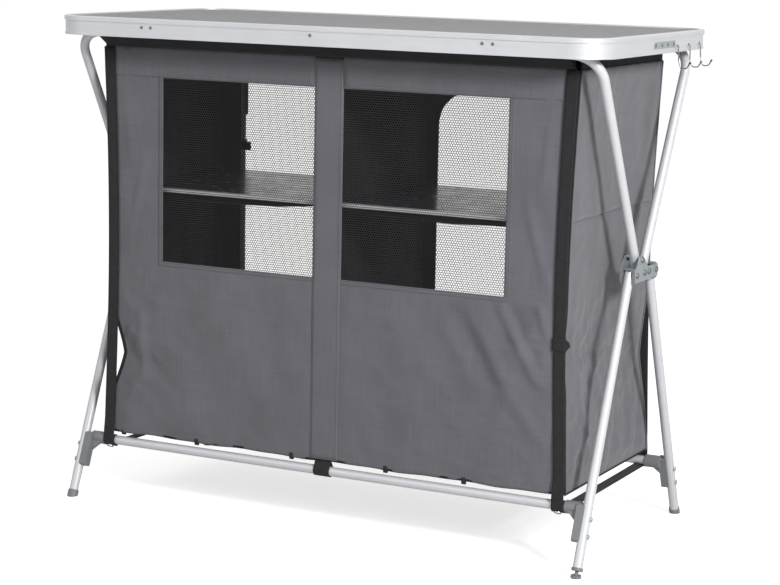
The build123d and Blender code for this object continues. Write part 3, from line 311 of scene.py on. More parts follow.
class Look:
    """Principled material whose colour, gloss and relief come from procedural layers."""

    def __init__(self, name, colour, rough, metallic=0.0, cloth=False):
        self.mat = bpy.data.materials.new(name)
        self.mat.use_nodes = True
        self.mat.diffuse_color = (*colour, 1)
        self.tree = self.mat.node_tree
        self.shader = self.tree.nodes["Principled BSDF"]
        self.shader.inputs["Base Color"].default_value = (*colour, 1)
        self.shader.inputs["Roughness"].default_value = rough
        self.shader.inputs["Metallic"].default_value = metallic
        self.colour = colour
        if cloth:
            source = self.tree.nodes.new("ShaderNodeUVMap")
            source.uv_map = "cloth"
            self.coords = source.outputs["UV"]
        else:
            source = self.tree.nodes.new("ShaderNodeTexCoord")
            self.coords = source.outputs["Object"]

    def link(self, a, b):
        self.tree.links.new(a, b)

    def node(self, kind, vector, **values):
        """Texture node over a vector, with its input values set."""
        made = self.tree.nodes.new(f"ShaderNode{kind}")
        for name, value in values.items():
            made.inputs[name].default_value = value
        self.link(vector, made.inputs["Vector"])
        return made

    def noise(self, scale, detail=3.0, rough=0.55, stretch=(1, 1, 1)):
        vector = self.node("Mapping", self.coords, Scale=stretch).outputs["Vector"]
        made = self.node("TexNoise", vector, Scale=scale, Detail=detail, Roughness=rough)
        return made.outputs["Fac"]

    def bands(self, pitch, axis, wobble=0.0):
        """Regular ribs one pitch (in metres) apart along one axis."""
        scale = 2 * math.pi / (20 * pitch)
        made = self.node("TexWave", self.coords, Scale=scale, Distortion=wobble, Detail=1.0)
        made.bands_direction = axis
        return made.outputs["Fac"]

    def cells(self, scale):
        return self.node("TexVoronoi", self.coords, Scale=scale).outputs["Distance"]

    def maths(self, kind, a, b):
        return maths_node(self.tree, kind, a, b)

    def remap(self, factor, low, high, from_low=0.0, from_high=1.0):
        node = self.tree.nodes.new("ShaderNodeMapRange")
        ends = {"From Min": from_low, "From Max": from_high, "To Min": low, "To Max": high}
        for name, value in ends.items():
            node.inputs[name].default_value = value
        self.link(factor, node.inputs["Value"])
        return node.outputs["Result"]

    def blend_colour(self, factor, colour):
        """Mix towards another colour where the factor is high."""
        node = self.tree.nodes.new("ShaderNodeMix")
        node.data_type = "RGBA"
        socket = self.shader.inputs["Base Color"]
        if socket.is_linked:
            self.link(socket.links[0].from_socket, node.inputs["A"])
        else:
            node.inputs["A"].default_value = (*self.colour, 1)
        node.inputs["B"].default_value = (*colour, 1)
        self.link(factor, node.inputs["Factor"])
        self.link(node.outputs["Result"], socket)

    def tint(self, factor, spread, from_low=0.3, from_high=0.7):
        """Lighten and darken the colour by a share of itself."""
        dark = tuple(c * (1 - spread) for c in self.colour)
        light = tuple(min(1.0, c * (1 + spread)) for c in self.colour)
        socket = self.shader.inputs["Base Color"]
        node = self.tree.nodes.new("ShaderNodeMix")
        node.data_type = "RGBA"
        if not socket.is_linked:
            node.inputs["A"].default_value = (*dark, 1)
            node.inputs["B"].default_value = (*light, 1)
            self.link(self.remap(factor, 0, 1, from_low, from_high), node.inputs["Factor"])
            self.link(node.outputs["Result"], socket)
            return
        node.blend_type = "MULTIPLY"
        node.inputs["Factor"].default_value = 1.0
        grey = self.tree.nodes.new("ShaderNodeCombineColor")
        level = self.remap(factor, 1 - spread, 1 + spread, from_low, from_high)
        for name in ("Red", "Green", "Blue"):
            self.link(level, grey.inputs[name])
        self.link(socket.links[0].from_socket, node.inputs["A"])
        self.link(grey.outputs["Color"], node.inputs["B"])
        self.link(node.outputs["Result"], socket)

    def gloss(self, factor, low, high):
        self.link(self.remap(factor, low, high, 0.3, 0.7), self.shader.inputs["Roughness"])

    def relief(self, factor, distance, strength=0.5):
        node = self.tree.nodes.new("ShaderNodeBump")
        node.inputs["Strength"].default_value = strength
        node.inputs["Distance"].default_value = distance
        socket = self.shader.inputs["Normal"]
        if socket.is_linked:
            self.link(socket.links[0].from_socket, node.inputs["Normal"])
        self.link(factor, node.inputs["Height"])
        self.link(node.outputs["Normal"], socket)


def srgb(*values):
    """Linear colour from 0 to 255 display values."""
    out = []
    for value in values:
        c = value / 255
        out.append(c / 12.92 if c <= 0.04045 else ((c + 0.055) / 1.055) ** 2.4)
    return tuple(out)


def woven(name, colour, pitch, rough=0.85, sheen=0.25, spread=0.06):
    look = Look(name, colour, rough, cloth=True)
    look.shader.inputs["Sheen Weight"].default_value = sheen
    look.shader.inputs["Sheen Roughness"].default_value = 0.5
    look.shader.inputs["Specular IOR Level"].default_value = 0.25
    look.tint(look.noise(9, 4), spread * 0.8)
    look.tint(look.noise(1, 3, stretch=(900, 14, 1)), spread)
    look.tint(look.noise(1, 3, stretch=(14, 900, 1)), spread * 0.8)
    warp = look.bands(pitch, "X", 0.4)
    weft = look.bands(pitch, "Y", 0.4)
    weave = look.maths("ADD", warp, weft)
    look.tint(weave, spread * 0.7, 0.2, 1.8)
    look.gloss(look.noise(30, 2), rough - 0.08, rough + 0.06)
    look.relief(look.noise(55, 3), 0.0009, 0.35)
    look.relief(weave, 0.00025, 0.4)
    return look


def webbing(name, colour):
    look = Look(name, colour, 0.78, cloth=True)
    look.shader.inputs["Sheen Weight"].default_value = 0.08
    look.shader.inputs["Specular IOR Level"].default_value = 0.3
    rows = look.bands(0.0021, "Y", 0.3)
    threads = look.bands(0.0011, "X", 0.2)
    look.tint(look.noise(40, 3), 0.14)
    look.tint(rows, 0.18, 0.1, 0.9)
    look.tint(threads, 0.10, 0.1, 0.9)
    look.gloss(look.noise(120, 2), 0.7, 0.88)
    look.relief(look.maths("ADD", rows, look.maths("MULTIPLY", threads, 0.5)), 0.0004, 0.6)
    return look


def plastic(name, colour, rough, grain=700.0):
    look = Look(name, colour, rough)
    look.tint(look.noise(25, 4), 0.06)
    look.tint(look.noise(grain, 2), 0.04)
    look.gloss(look.noise(60, 3), rough - 0.06, rough + 0.08)
    look.relief(look.noise(grain, 2), 0.00015, 0.4)
    return look


def metal(name, colour, rough, metallic, brush=(1, 1, 1), brush_scale=60.0, spread=0.04):
    look = Look(name, colour, rough, metallic)
    look.tint(look.noise(12, 4), spread)
    brushed = look.noise(brush_scale, 3, 0.6, brush)
    look.tint(brushed, spread * 0.8)
    scratches = look.noise(180, 2, 0.7, (0.15, 1, 1))
    worn = look.maths("MULTIPLY", look.maths("ADD", brushed, scratches), 0.5)
    look.gloss(worn, rough - 0.06, rough + 0.10)
    look.relief(brushed, 0.00008, 0.25)
    return look


grey_cloth = woven("grey_cloth", srgb(100, 99, 105), 0.0009, spread=0.1)
dark_cloth = woven("dark_cloth", srgb(30, 30, 32), 0.0009, sheen=0.05)
inner_cloth = woven("inner_cloth", srgb(38, 38, 40), 0.0009, sheen=0.05)
black_band = woven("black_band", srgb(27, 27, 29), 0.0008, sheen=0.05, spread=0.1)
black_webbing = webbing("black_webbing", srgb(33, 33, 35))
black_net = woven("black_net", srgb(34, 34, 36), 0.0006, rough=0.7, sheen=0.05, spread=0.1)
grey_thread = woven("grey_thread", srgb(62, 61, 65), 0.0006)
black_thread = woven("black_thread", srgb(30, 30, 32), 0.0006)
zip_teeth = plastic("zip_teeth", srgb(34, 34, 36), 0.4)

laminate = Look("laminate", srgb(140, 140, 142), 0.5)
laminate.shader.inputs["Specular IOR Level"].default_value = 0.2
laminate.tint(laminate.noise(6, 4), 0.025)
laminate.tint(laminate.noise(1100, 2, 0.7), 0.035)
laminate.gloss(laminate.noise(90, 3), 0.46, 0.58)
laminate.relief(laminate.noise(900, 2), 0.0001, 0.35)

aluminium = metal("edge_aluminium", srgb(214, 216, 219), 0.36, 0.55, (0.03, 0.03, 1), 900, 0.03)
# Shelf trim: pale aluminium, brightened to near white and made nearly non-metallic as painted
# light, so it reads bright inside the shaded box
brightened_trim = metal("shelf_trim", srgb(240, 241, 243), 0.4, 0.1, (0.03, 1, 1), 900, 0.02)
zinc = metal("zinc_plate", srgb(176, 184, 187), 0.36, 0.75, (1, 0.3, 1), 500, 0.08)
rivet = metal("rivet", srgb(128, 130, 133), 0.3, 0.85, (1, 1, 1), 500, 0.08)
zinc.tint(zinc.cells(160), 0.05, 0.1, 0.6)
zinc.relief(zinc.noise(240, 3), 0.0002, 0.3)
paint = metal("frame_paint", srgb(203, 204, 207), 0.42, 0.15, (1, 1, 0.04), 700, 0.02)
paint.shader.inputs["Coat Weight"].default_value = 0.1
paint.shader.inputs["Coat Roughness"].default_value = 0.2
grey_plastic = plastic("grey_plastic", srgb(120, 121, 124), 0.5)
black_plastic = plastic("black_plastic", srgb(38, 38, 41), 0.5)
steel = metal("hook_wire", srgb(150, 150, 150), 0.25, 0.9, (1, 1, 1), 400, 0.05)
shelf_laminate = Look("shelf_laminate", srgb(62, 63, 67), 0.22)
shelf_laminate.tint(shelf_laminate.noise(8, 4), 0.05)
shelf_laminate.tint(shelf_laminate.noise(300, 2), 0.03)
shelf_laminate.gloss(shelf_laminate.noise(20, 3), 0.16, 0.3)
shelf_laminate.relief(shelf_laminate.noise(700, 2), 0.0001, 0.3)
brown_tab = plastic("brown_tab", srgb(172, 112, 82), 0.5, 420.0)
brown_tab.relief(brown_tab.cells(900), 0.0003, 0.4)


def tip_mask(look):
    """Black rubber over the last few millimetres of each hook."""
    split = look.tree.nodes.new("ShaderNodeSeparateXYZ")
    look.link(look.coords, split.inputs["Vector"])
    far = look.remap(split.outputs["X"], 0, 1, 0.5128, 0.5132)
    high = look.remap(split.outputs["Z"], 0, 1, 0.7935, 0.7940)
    inside = look.remap(split.outputs["Z"], 0, 1, 0.8313, 0.8317)
    return look.maths("MAXIMUM", look.maths("MULTIPLY", far, high), inside)


mask = tip_mask(steel)
steel.blend_colour(mask, srgb(28, 28, 30))
bare = steel.maths("SUBTRACT", 0.9, steel.maths("MULTIPLY", mask, 0.9))
steel.link(bare, steel.shader.inputs["Metallic"])

# Every CAD node that keeps its shape gets its finish
FINISHES = {
    laminate: ["tabletop_panel"],
    aluminium: ["tabletop_edge_profile"],
    brightened_trim: ["shelf_trim_left", "shelf_trim_right"],
    zinc: [
        "edge_joint_plate", "hub_plates_left", "hub_plates_right", "bracket_rivets_front",
        "bracket_rivets_rear", "strap_snaps",
    ],
    rivet: ["joint_plate_rivets", "fascia_rivets", "hub_rivets_left", "hub_rivets_right"],
    paint: [
        "upper_frame_front", "upper_frame_rear", "leg_front_left", "leg_front_right",
        "leg_rear_left", "leg_rear_right", "bottom_bar_front", "bottom_bar_rear",
    ],
    grey_plastic: [
        "brackets_front", "brackets_rear", "hub_blocks_left", "hub_blocks_right",
        "foot_cap_front_left", "foot_caps_rear", "foot_insert_front_right", "levelling_foot",
    ],
    black_plastic: ["rail_seat_blocks", "latch_left", "latch_right"],
    steel: ["hook_1", "hook_2", "hook_3"],
    shelf_laminate: ["shelf_board_left", "shelf_board_right"],
    brown_tab: ["zip_pull_left", "zip_pull_right"],
}
for look, nodes in FINISHES.items():
    for node in nodes:
        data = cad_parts[node].data
        if not data.materials:
            data.materials.append(look.mat)
        for i in range(len(data.materials)):
            data.materials[i] = look.mat

soft_root = []


def box_piece(obj, *nodes, slot=None):
    """Soft piece of the hung box: it rides on the cupboard, and the CAD nodes it replaces are
    hidden.
    """
    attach(obj, "cupboard")
    if nodes:
        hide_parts(*nodes)
    soft_root.append(obj)
    return obj


# Front panel. Each crease has its start and end in x and z, its width and its height.
FRONT_CREASES = [
    ((250, 425), (352, 262), 13, 4.2),
    ((205, 415), (300, 235), 20, 2.6),
    ((314, 424), (398, 284), 9, 5.0),
    ((270, 424), (384, 190), 20, 2.6),
    ((352, 262), (412, 180), 12, 2.2),
    ((384, 432), (410, 352), 6, 3.4),
    ((330, 420), (400, 300), 9, -2.2),
    ((-404, 262), (-372, 330), 8, 3.2),
    ((-366, 350), (-356, 210), 9, 5.0),
    ((-356, 240), (-400, 168), 9, 3.4),
    ((-396, 262), (-300, 232), 14, -2.0),
    ((-330, 300), (-250, 205), 22, 1.6),
    ((-200, 300), (-130, 160), 24, -1.5),
    ((60, 300), (130, 150), 26, -1.4),
    ((-90, 400), (-60, 230), 20, 1.2),
    ((120, 400), (170, 190), 24, 1.4),
    ((340, 200), (250, 135), 16, 1.8),
]

# The same for the strips of cloth beside the windows
POST_CREASES = [
    ((346, 620), (410, 424), 7, 3.6),
    ((402, 770), (384, 590), 7, 2.4),
    ((-404, 740), (-380, 560), 8, 2.2),
    ((-350, 640), (-396, 450), 9, 2.6),
]


def fold_edge(x, z):
    return np.minimum(np.abs(x - corner_x(-1, -1, z)), np.abs(x - corner_x(1, -1, z)))


def front_out(x, z):
    """How far the front panel stands out of its plane."""
    edge = fold_edge(x, z)
    held = ramp(70, 190, edge) * ramp(60, 150, np.abs(x))
    low = 1 - ramp(330, 420, z)
    hem = ramp(BOX_BOTTOM, BOX_BOTTOM + 50, z)
    wave = np.sin(0.021 * np.abs(x) + 0.011 * z) + 0.6 * np.sin(0.034 * np.abs(x) - 0.014 * z)
    out = 3.0 * held * low * hem * wave
    near = ramp(8, 40, edge) * ramp(24, 40, np.abs(x))
    fine = 1.5 * sum(crease(x, z, *c) for c in FRONT_CREASES)
    pucker = 0.5 * np.sin(0.16 * x + 0.7 * np.sin(0.05 * z)) * bump(z, WINDOW_LOW - 14, 26)
    pucker = pucker + 0.5 * np.sin(0.13 * x + 1.3) * bump(z, BOX_BOTTOM + 14, 30)
    below = 1 - ramp(WINDOW_LOW - 12, WINDOW_LOW, z)
    corners = bump(x, 420, 260) * bump(z, 300, 240) + 1.2 * bump(x, -410, 190) * bump(z, 260, 220)
    slack = (0.4 + corners) * (11.0 * rumple(x, z, 5, 125) + 3.0 * rumple(x, z, 8, 45))
    posts = ramp(WINDOW_FAR + 10, WINDOW_FAR + 50, np.abs(x))
    posts = posts * ramp(WINDOW_LOW - 20, WINDOW_LOW + 40, z)
    hung = 2.4 * rumple(x, 0.22 * z, 3, 42) + sum(crease(x, z, *c) for c in POST_CREASES)
    drape = posts * ramp(10, 36, edge) * hung
    return out + near * below * (np.clip(fine, -4.0, 11.0) + pucker + slack) + drape


def spread_x(u, z, end, inner):
    """Spread a sheet's outer columns to the pinched corners."""
    limit = np.where(u < 0, -corner_x(-1, end, z), corner_x(1, end, z))
    outer = inner + (np.abs(u) - inner) / (SHEET_HALF - inner) * (limit - inner)
    return np.where(np.abs(u) <= inner, u, np.sign(u) * outer)


def hem_wave(x):
    return HEM_SAG * (np.sin(0.033 * x) + 0.6 * np.sin(0.071 * x + 1))


def front_place(u, z):
    x = spread_x(u, z, -1, WINDOW_FAR)
    sag = bump(z, BOX_BOTTOM, 40) * hem_wave(x)
    return x, -(SHEET_Y + front_out(x, z)), z + sag * (z < 160)


def outside_windows(u, z):
    across = (np.abs(u) > WINDOW_NEAR) & (np.abs(u) < WINDOW_FAR)
    return ~(across & (z > WINDOW_LOW) & (z < WINDOW_HIGH))


front_half = steps(WINDOW_NEAR, WINDOW_FAR, SHEET_HALF, gap=6)
front_middle = steps(-WINDOW_NEAR, WINDOW_NEAR, gap=6)[1:-1]
front_us = np.concatenate([-front_half[::-1], front_middle, front_half])
front_vs = np.concatenate([
    steps(BOX_BOTTOM, WINDOW_LOW, gap=4.5), steps(WINDOW_LOW, WINDOW_HIGH, gap=9)[1:],
    steps(WINDOW_HIGH, BOX_TOP, gap=6)[1:],
])
front_panel = grid_sheet(
    "front_panel_cloth", front_us, front_vs, front_place, grey_cloth.mat, outside_windows,
    lining=inner_cloth.mat,
)
box_piece(front_panel, "front_panel", slot="grey_cloth")


# Rear panel, with two door openings rounded at their inner corners
def door_distance(x, z):
    """Signed distance to the nearest door opening, below zero inside it."""
    ax = np.abs(x)
    far = DOOR_FAR + 200
    half_x, half_z = (far - DOOR_NEAR) / 2, (DOOR_HIGH - DOOR_LOW) / 2
    qx = np.abs(ax - (far + DOOR_NEAR) / 2) - (half_x - DOOR_R)
    qz = np.abs(z - (DOOR_HIGH + DOOR_LOW) / 2) - (half_z - DOOR_R)
    outside = np.hypot(np.maximum(qx, 0), np.maximum(qz, 0))
    return outside + np.minimum(np.maximum(qx, qz), 0) - DOOR_R


def snap_to_door(x, z):
    """Move grid points that lie near a rounded door corner onto its curve."""
    d = door_distance(x, z)
    e = 0.5
    gx = (door_distance(x + e, z) - door_distance(x - e, z)) / (2 * e)
    gz = (door_distance(x, z + e) - door_distance(x, z - e)) / (2 * e)
    near = (np.abs(d) < 4.2) & (np.abs(x) < DOOR_NEAR + DOOR_R + 1) & (np.abs(gx * gz) > 1e-3)
    return np.where(near, x - d * gx, x), np.where(near, z - d * gz, z)


def rear_place(u, z):
    x, z = snap_to_door(spread_x(u, z, 1, DOOR_FAR), z)
    wave = 0.8 * np.sin(0.05 * z + 0.03 * x) * ramp(4, 20, np.abs(door_distance(x, z)))
    return x, SHEET_Y - np.abs(wave) * 0.6, z


def outside_doors(u, z):
    return (door_distance(u, z) > 0) | (np.abs(u) > DOOR_FAR)


rear_half = steps(0, DOOR_NEAR, DOOR_NEAR + DOOR_R, DOOR_FAR, SHEET_HALF, gap=6)
rear_us = np.concatenate([-rear_half[:0:-1], rear_half])
rear_vs = steps(
    BOX_BOTTOM, DOOR_LOW, DOOR_LOW + DOOR_R, DOOR_HIGH - DOOR_R, DOOR_HIGH, BOX_TOP, gap=6
)
rear_panel = grid_sheet(
    "rear_panel_cloth", rear_us, rear_vs, rear_place, grey_cloth.mat, outside_doors,
    lining=inner_cloth.mat, flip=True,
)
box_piece(rear_panel, "rear_panel", slot="grey_cloth")

# Side panels
SIDE_CREASES = [
    ((-150, 760), (-60, 560), 16, 1.8),
    ((-60, 780), (40, 420), 20, 1.5),
    ((150, 770), (110, 480), 15, 1.8),
    ((-165, 345), (-60, 380), 9, 2.0),
    ((-160, 338), (-40, 300), 10, 1.8),
    ((-160, 345), (-110, 220), 10, 2.2),
    ((60, 360), (150, 300), 12, 1.6),
    ((-110, 240), (-80, 140), 12, 2.0),
    ((20, 300), (80, 150), 18, 1.5),
]


def side_place(side):
    def place(y, z):
        share = ramp(-SIDE_REACH, SIDE_REACH, y)
        corner = corner_x(side, -1, z) * (1 - share) + corner_x(side, 1, z) * share
        held = ramp(22, 130, SIDE_REACH - np.abs(y)) * ramp(0, 80, z - BOX_BOTTOM)
        held = held * ramp(0, 80, BOX_TOP - z)
        wave = np.sin(0.030 * y + 0.012 * z) + 0.5 * np.sin(0.045 * y - 0.008 * z)
        inward = 0.6 + 1.8 * held * (1.5 + wave)
        fine = sum(crease(y, z, *c) for c in SIDE_CREASES)
        loose = 0.4 + 1.1 * (1 - ramp(330, 480, z))
        fine = 1.4 * fine + loose * (8.5 * rumple(y, 0.7 * z, 11, 85) + 3.4 * rumple(y, z, 14, 36))
        sewn = sum(3.0 * np.exp(-(((z - height) / 4.0) ** 2)) for height in SEAM_HEIGHTS)
        free = ramp(4, 30, SIDE_REACH - np.abs(y)) * ramp(0, 30, z - BOX_BOTTOM)
        return corner - side * (inward - free * (np.clip(fine, -1, 14) - sewn)), y, z

    return place


side_us = steps(-SIDE_REACH, SIDE_REACH, gap=5)
side_vs = steps(BOX_BOTTOM, BOX_TOP, gap=5)
for side, word in SIDES:
    wall = grid_sheet(
        f"{word}_panel_cloth", side_us, side_vs, side_place(side), grey_cloth.mat,
        lining=inner_cloth.mat, flip=side < 0,
    )
    box_piece(wall, f"{word}_panel", slot="grey_cloth")


# Floor and divider
def floor_place(x, y):
    return x, y, BOX_BOTTOM + 1.1 + 0.8 * np.sin(0.02 * x) * np.sin(0.03 * y)


floor_us = steps(-436, 436, gap=14)
floor_vs = steps(-182, 182, gap=14)
floor_cloth = grid_sheet("floor_cloth", floor_us, floor_vs, floor_place, inner_cloth.mat)
box_piece(floor_cloth, "floor_panel", slot="grey_cloth")


def divider_place(y, z):
    return 0.5 * np.sin(0.03 * y) * np.sin(0.02 * z), y, z


divider = grid_sheet(
    "divider_cloth", steps(-181, 181, gap=12), steps(121, 791, gap=12), divider_place,
    inner_cloth.mat,
)
box_piece(divider, "divider_panel", slot="grey_cloth")


# Window nets with open six-sided cells
def net(name, side):
    """Staggered rows of hexagons, each a ring of cord round its hole."""
    x0, x1 = WINDOW_NEAR - 5, WINDOW_FAR + 5
    z0, z1 = WINDOW_LOW - 5, WINDOW_HIGH + 5
    dx = (x1 - x0) / NET_COLS
    dz = (z1 - z0) / (NET_ROWS - 1 / 3)
    ring = np.array([(0, -2), (1.5, -1), (1.5, 1), (0, 2), (-1.5, 1), (-1.5, -1)]) / 3
    j, i = np.meshgrid(np.arange(NET_ROWS), np.arange(NET_COLS), indexing="ij")
    centre = np.stack([(i + 0.5 + 0.5 * (j % 2)) * dx, (j + 1 / 3) * dz], -1).reshape(-1, 1, 2)
    rim = centre + ring * (dx, dz)
    hole = centre + ring * (dx, dz) * NET_HOLE
    flat = np.concatenate([rim, hole], 1).reshape(-1, 2) + (x0, z0)
    flat[:, 0] = np.minimum(flat[:, 0], x1)
    flat[:, 1] = np.clip(flat[:, 1], z0, z1)
    faces = []
    for base in range(0, len(flat), 12):
        for k in range(6):
            n = (k + 1) % 6
            faces.append((base + k, base + n, base + 6 + n, base + 6 + k))
    across, up = (flat[:, 0] - x0) / (x1 - x0), (flat[:, 1] - z0) / (z1 - z0)
    belly = 1.2 * np.sin(np.pi * across) * np.sin(np.pi * up)
    place = np.stack([side * flat[:, 0], belly - 182.7, flat[:, 1]], -1)
    if side < 0:
        faces = [f[::-1] for f in faces]
    return add_mesh(name, place, faces, black_net.mat, flat, smooth=False)


for side, word in SIDES:
    mesh_net = net(f"window_net_{word}", side)
    box_piece(mesh_net, f"window_mesh_{word}", slot="black_net")


# Window hems and the centre strip
def window_loop(x0, x1, grow, y):
    """Closed rectangle round a window, grown outwards."""
    x0, x1, z0, z1 = x0 - grow, x1 + grow, WINDOW_LOW - grow, WINDOW_HIGH + grow
    return np.array([(x0, y, z0), (x1, y, z0), (x1, y, z1), (x0, y, z1), (x0, y, z0)])


def window_hem(name, x0, x1, wide=9.0, per_side=40):
    """Hem turned round an opening: a mitred frame of cloth."""
    points, faces = [], []
    rings = ((0.0, 0.0), (0.6, 0.45), (wide - 0.8, 0.5), (wide, 0.0))
    for grow, lift in rings:
        loop = window_loop(x0, x1, grow, -SHEET_Y - 0.45 - lift)
        for k in range(4):
            for t in range(per_side):
                points.append(loop[k] + (loop[k + 1] - loop[k]) * t / per_side)
    count = 4 * per_side
    for r in range(len(rings) - 1):
        for i in range(count):
            n = (i + 1) % count
            faces.append((r * count + i, r * count + n, (r + 1) * count + n, (r + 1) * count + i))
    place = np.array(points)
    below = place[:, 2] < WINDOW_LOW + 1
    place[:, 1] -= np.where(below, front_out(place[:, 0], place[:, 2]), 0)
    return add_mesh(name, place, faces, grey_cloth.mat)


seams = Threads()
dark_seams = Threads()
for side, word in SIDES:
    x0, x1 = sorted((side * WINDOW_NEAR, side * WINDOW_FAR))
    box_piece(window_hem(f"window_hem_{word}", x0, x1), slot="grey_cloth")
    for grow in (1.8, 7.2):
        loop = window_loop(x0, x1, grow, -SHEET_Y - 1.1)
        for a, b in zip(loop, loop[1:]):
            line = a + (b - a) * np.linspace(0, 1, 60)[:, None]
            line[:, 1] -= np.where(line[:, 2] < WINDOW_LOW, front_out(line[:, 0], line[:, 2]), 0)
            seams.sew(line, (0, -1, 0))


def strip_place(u, z):
    crown = 0.25 * (1 - (u / STRIP_HALF) ** 4)
    return u, -(BOX_FACE + 0.35 + crown + 0.2 * np.sin(0.02 * z)), z


strip = grid_sheet(
    "front_centre_strip_cloth", steps(-STRIP_HALF, STRIP_HALF, gap=4), steps(120, 795, gap=9),
    strip_place, grey_cloth.mat, thickness=0.8,
)
box_piece(strip, "front_centre_strip", slot="grey_cloth")
for x in (-STRIP_STITCH, STRIP_STITCH):
    zs = np.linspace(121, 794, 90)
    line = np.stack([np.full(90, x), -(BOX_FACE + 0.9 + 0.2 * np.sin(0.02 * zs)), zs], -1)
    seams.sew(line, (0, -1, 0))


# Hem binding along the bottom of the box
def hem_path(end):
    half = corner_x(1, -1, BOX_BOTTOM) if end < 0 else 440.0
    x = half * (2 * np.linspace(0, 1, HEM_POINTS) - 1)
    sag = hem_wave(x) if end < 0 else 0.0 * x
    return np.stack([x, np.full(HEM_POINTS, end * SHEET_Y), BOX_BOTTOM + sag], -1)


def hem_binding(name, path, out):
    """Tape folded over a raw edge: a flat U in section."""
    half = [(1.1, 3.2), (1.3, 1.8), (1.2, 0.3)]
    profile = half + [(0.0, -1.3)] + [(-off, up) for off, up in half[::-1]]
    out = np.asarray(out, float)
    points, uvs = [], []
    for k, (off, up) in enumerate(profile):
        row = path + out * off + np.array([0, 0, up])
        points.append(row)
        uvs.append(np.stack([path[:, 0] + path[:, 1], np.full(len(path), 3.0 * k)], -1))
    n = len(path)
    faces = [
        (k * n + i, k * n + i + 1, (k + 1) * n + i + 1, (k + 1) * n + i)
        for k in range(len(profile) - 1) for i in range(n - 1)
    ]
    return add_mesh(name, np.concatenate(points), faces, black_band.mat, np.concatenate(uvs))


for end, word in ENDS:
    tape = hem_binding(f"hem_binding_{word}", hem_path(end), (0, end, 0))
    box_piece(tape, slot="black_webbing")
for side, word in SIDES:
    ys = np.linspace(-SIDE_REACH + 1, SIDE_REACH - 1, 60)
    path = np.stack(side_place(side)(ys, np.full(60, BOX_BOTTOM)), -1)
    tape = hem_binding(f"hem_binding_{word}", path, (side, 0, 0))
    box_piece(tape, slot="black_webbing")

# Small loops of tape that stand out of the bottom hem
for index, x in enumerate((-404.0, -252.0, -62.0, 118.0, 262.0)):
    path = [
        (x, -185.0, 124), (x, -185.6, 117), (x, -184.6, 113.5), (x, -183.0, 112.6),
        (x, -181.2, 114), (x, -181.0, 120),
    ]
    tab = ribbon(f"hem_tab_{index + 1}", path, (1, 0, 0), 7.0, black_webbing.mat, 0.9, 2)
    box_piece(tab, slot="black_webbing")

# Sleeves round the rails, closed at the seam on the panel, with a yoke that overlaps the panel
profile = drop_line((-RAIL[0], RAIL[1]), (-183.6, 797.4), 9.0, 26, 5)
for end, word, yoke_low, yoke_flat in ((-1, "front", 747.5, 0.0515), (1, "rear", 752.0, 0.047)):
    def sleeve_place(x, k, end=end):
        i = np.clip(k.astype(int), 0, len(profile) - 1)
        slack = 0.25 * np.sin(0.09 * x + 0.4 * k) * np.sin(np.pi * k / (len(profile) - 1))
        return x, -end * profile[i, 0], profile[i, 1] - slack

    sleeve = grid_sheet(
        f"top_sleeve_{word}", steps(-436, 436, gap=10), np.arange(len(profile)).astype(float),
        sleeve_place, black_band.mat,
    )
    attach(sleeve, f"upper_{word}")
    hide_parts("top_bands")
    for side, hand in SIDES:
        def yoke_place(u, z, side=side, end=end):
            limit = np.abs(corner_x(side, end, z)) - 6.0
            x = side * (WINDOW_NEAR + 0.5 + (u / 400.0) * (limit - WINDOW_NEAR - 0.5))
            return x, end * (BOX_FACE + 0.42 + 0.12 * np.sin(0.05 * x)), z

        yoke = grid_sheet(
            f"yoke_{word}_{hand}", steps(0, 400, gap=10), steps(yoke_low, YOKE_TOP, gap=6),
            yoke_place, grey_cloth.mat, thickness=0.5,
        )
        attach(yoke, f"upper_{word}")

# Side bands above the side panels
for side, word in SIDES:
    def band_place(y, z, side=side):
        bow = 0.8 * bump(z, 810, 20) * np.cos(y / 178 * 1.5)
        return side * (BAND_X - bow), y, z

    band = grid_sheet(
        f"side_band_{word}", steps(-181, 181, gap=8), steps(793, 824, gap=5), band_place,
        black_band.mat,
    )
    box_piece(band, "top_bands", slot="black_webbing")

# Shelf slings
for side, word in SIDES:
    def sling_place(u, y, side=side):
        share = (u - SLING_NEAR) / (SLING_FAR - SLING_NEAR)
        sag = 11.0 * np.sin(np.pi * share) + 0.8 * np.sin(0.05 * u) * np.sin(0.04 * y)
        return side * u, y, SLING_Z - sag

    sling = grid_sheet(
        f"shelf_sling_cloth_{word}", steps(SLING_NEAR, SLING_FAR, gap=9), steps(-168, 163, gap=12),
        sling_place, dark_cloth.mat,
    )
    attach(sling, f"shelf_{word}")
    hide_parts(f"shelf_sling_{word}")


# Rolled doors and their ties
def roll_place(side):
    def place(turn, z):
        angle = 2 * np.pi * turn - np.pi / 2
        share = turn / ROLL_TURNS
        span = (z - TIE_LOW) / (TIE_HIGH - TIE_LOW)
        between = np.sin(np.pi * np.clip(span, 0, 1)) * (z > TIE_LOW) * (z < TIE_HIGH)
        ends = bump(z, DOOR_LOW, 90) + bump(z, DOOR_HIGH, 100)
        loose = 1 + 0.07 * between + 0.05 * ends
        loose = loose * (1 - 0.05 * (bump(z, TIE_LOW, 26) + bump(z, TIE_HIGH, 26)))
        radius = (2.2 + 10.6 * share) * loose + 0.25 * np.sin(3 * angle + 0.05 * z) * share
        x, y = ROLL_X + radius * np.cos(angle), ROLL_Y + radius * np.sin(angle)
        return side * x, y, z + 1.5 * np.sin(angle) * share

    return place


for side, word in SIDES:
    roll = grid_sheet(
        f"rolled_door_cloth_{word}", np.linspace(0, ROLL_TURNS, 166),
        steps(DOOR_LOW, DOOR_HIGH, gap=13), roll_place(side), grey_cloth.mat, thickness=0.8,
    )
    box_piece(roll, f"rolled_door_{word}", slot="grey_cloth")

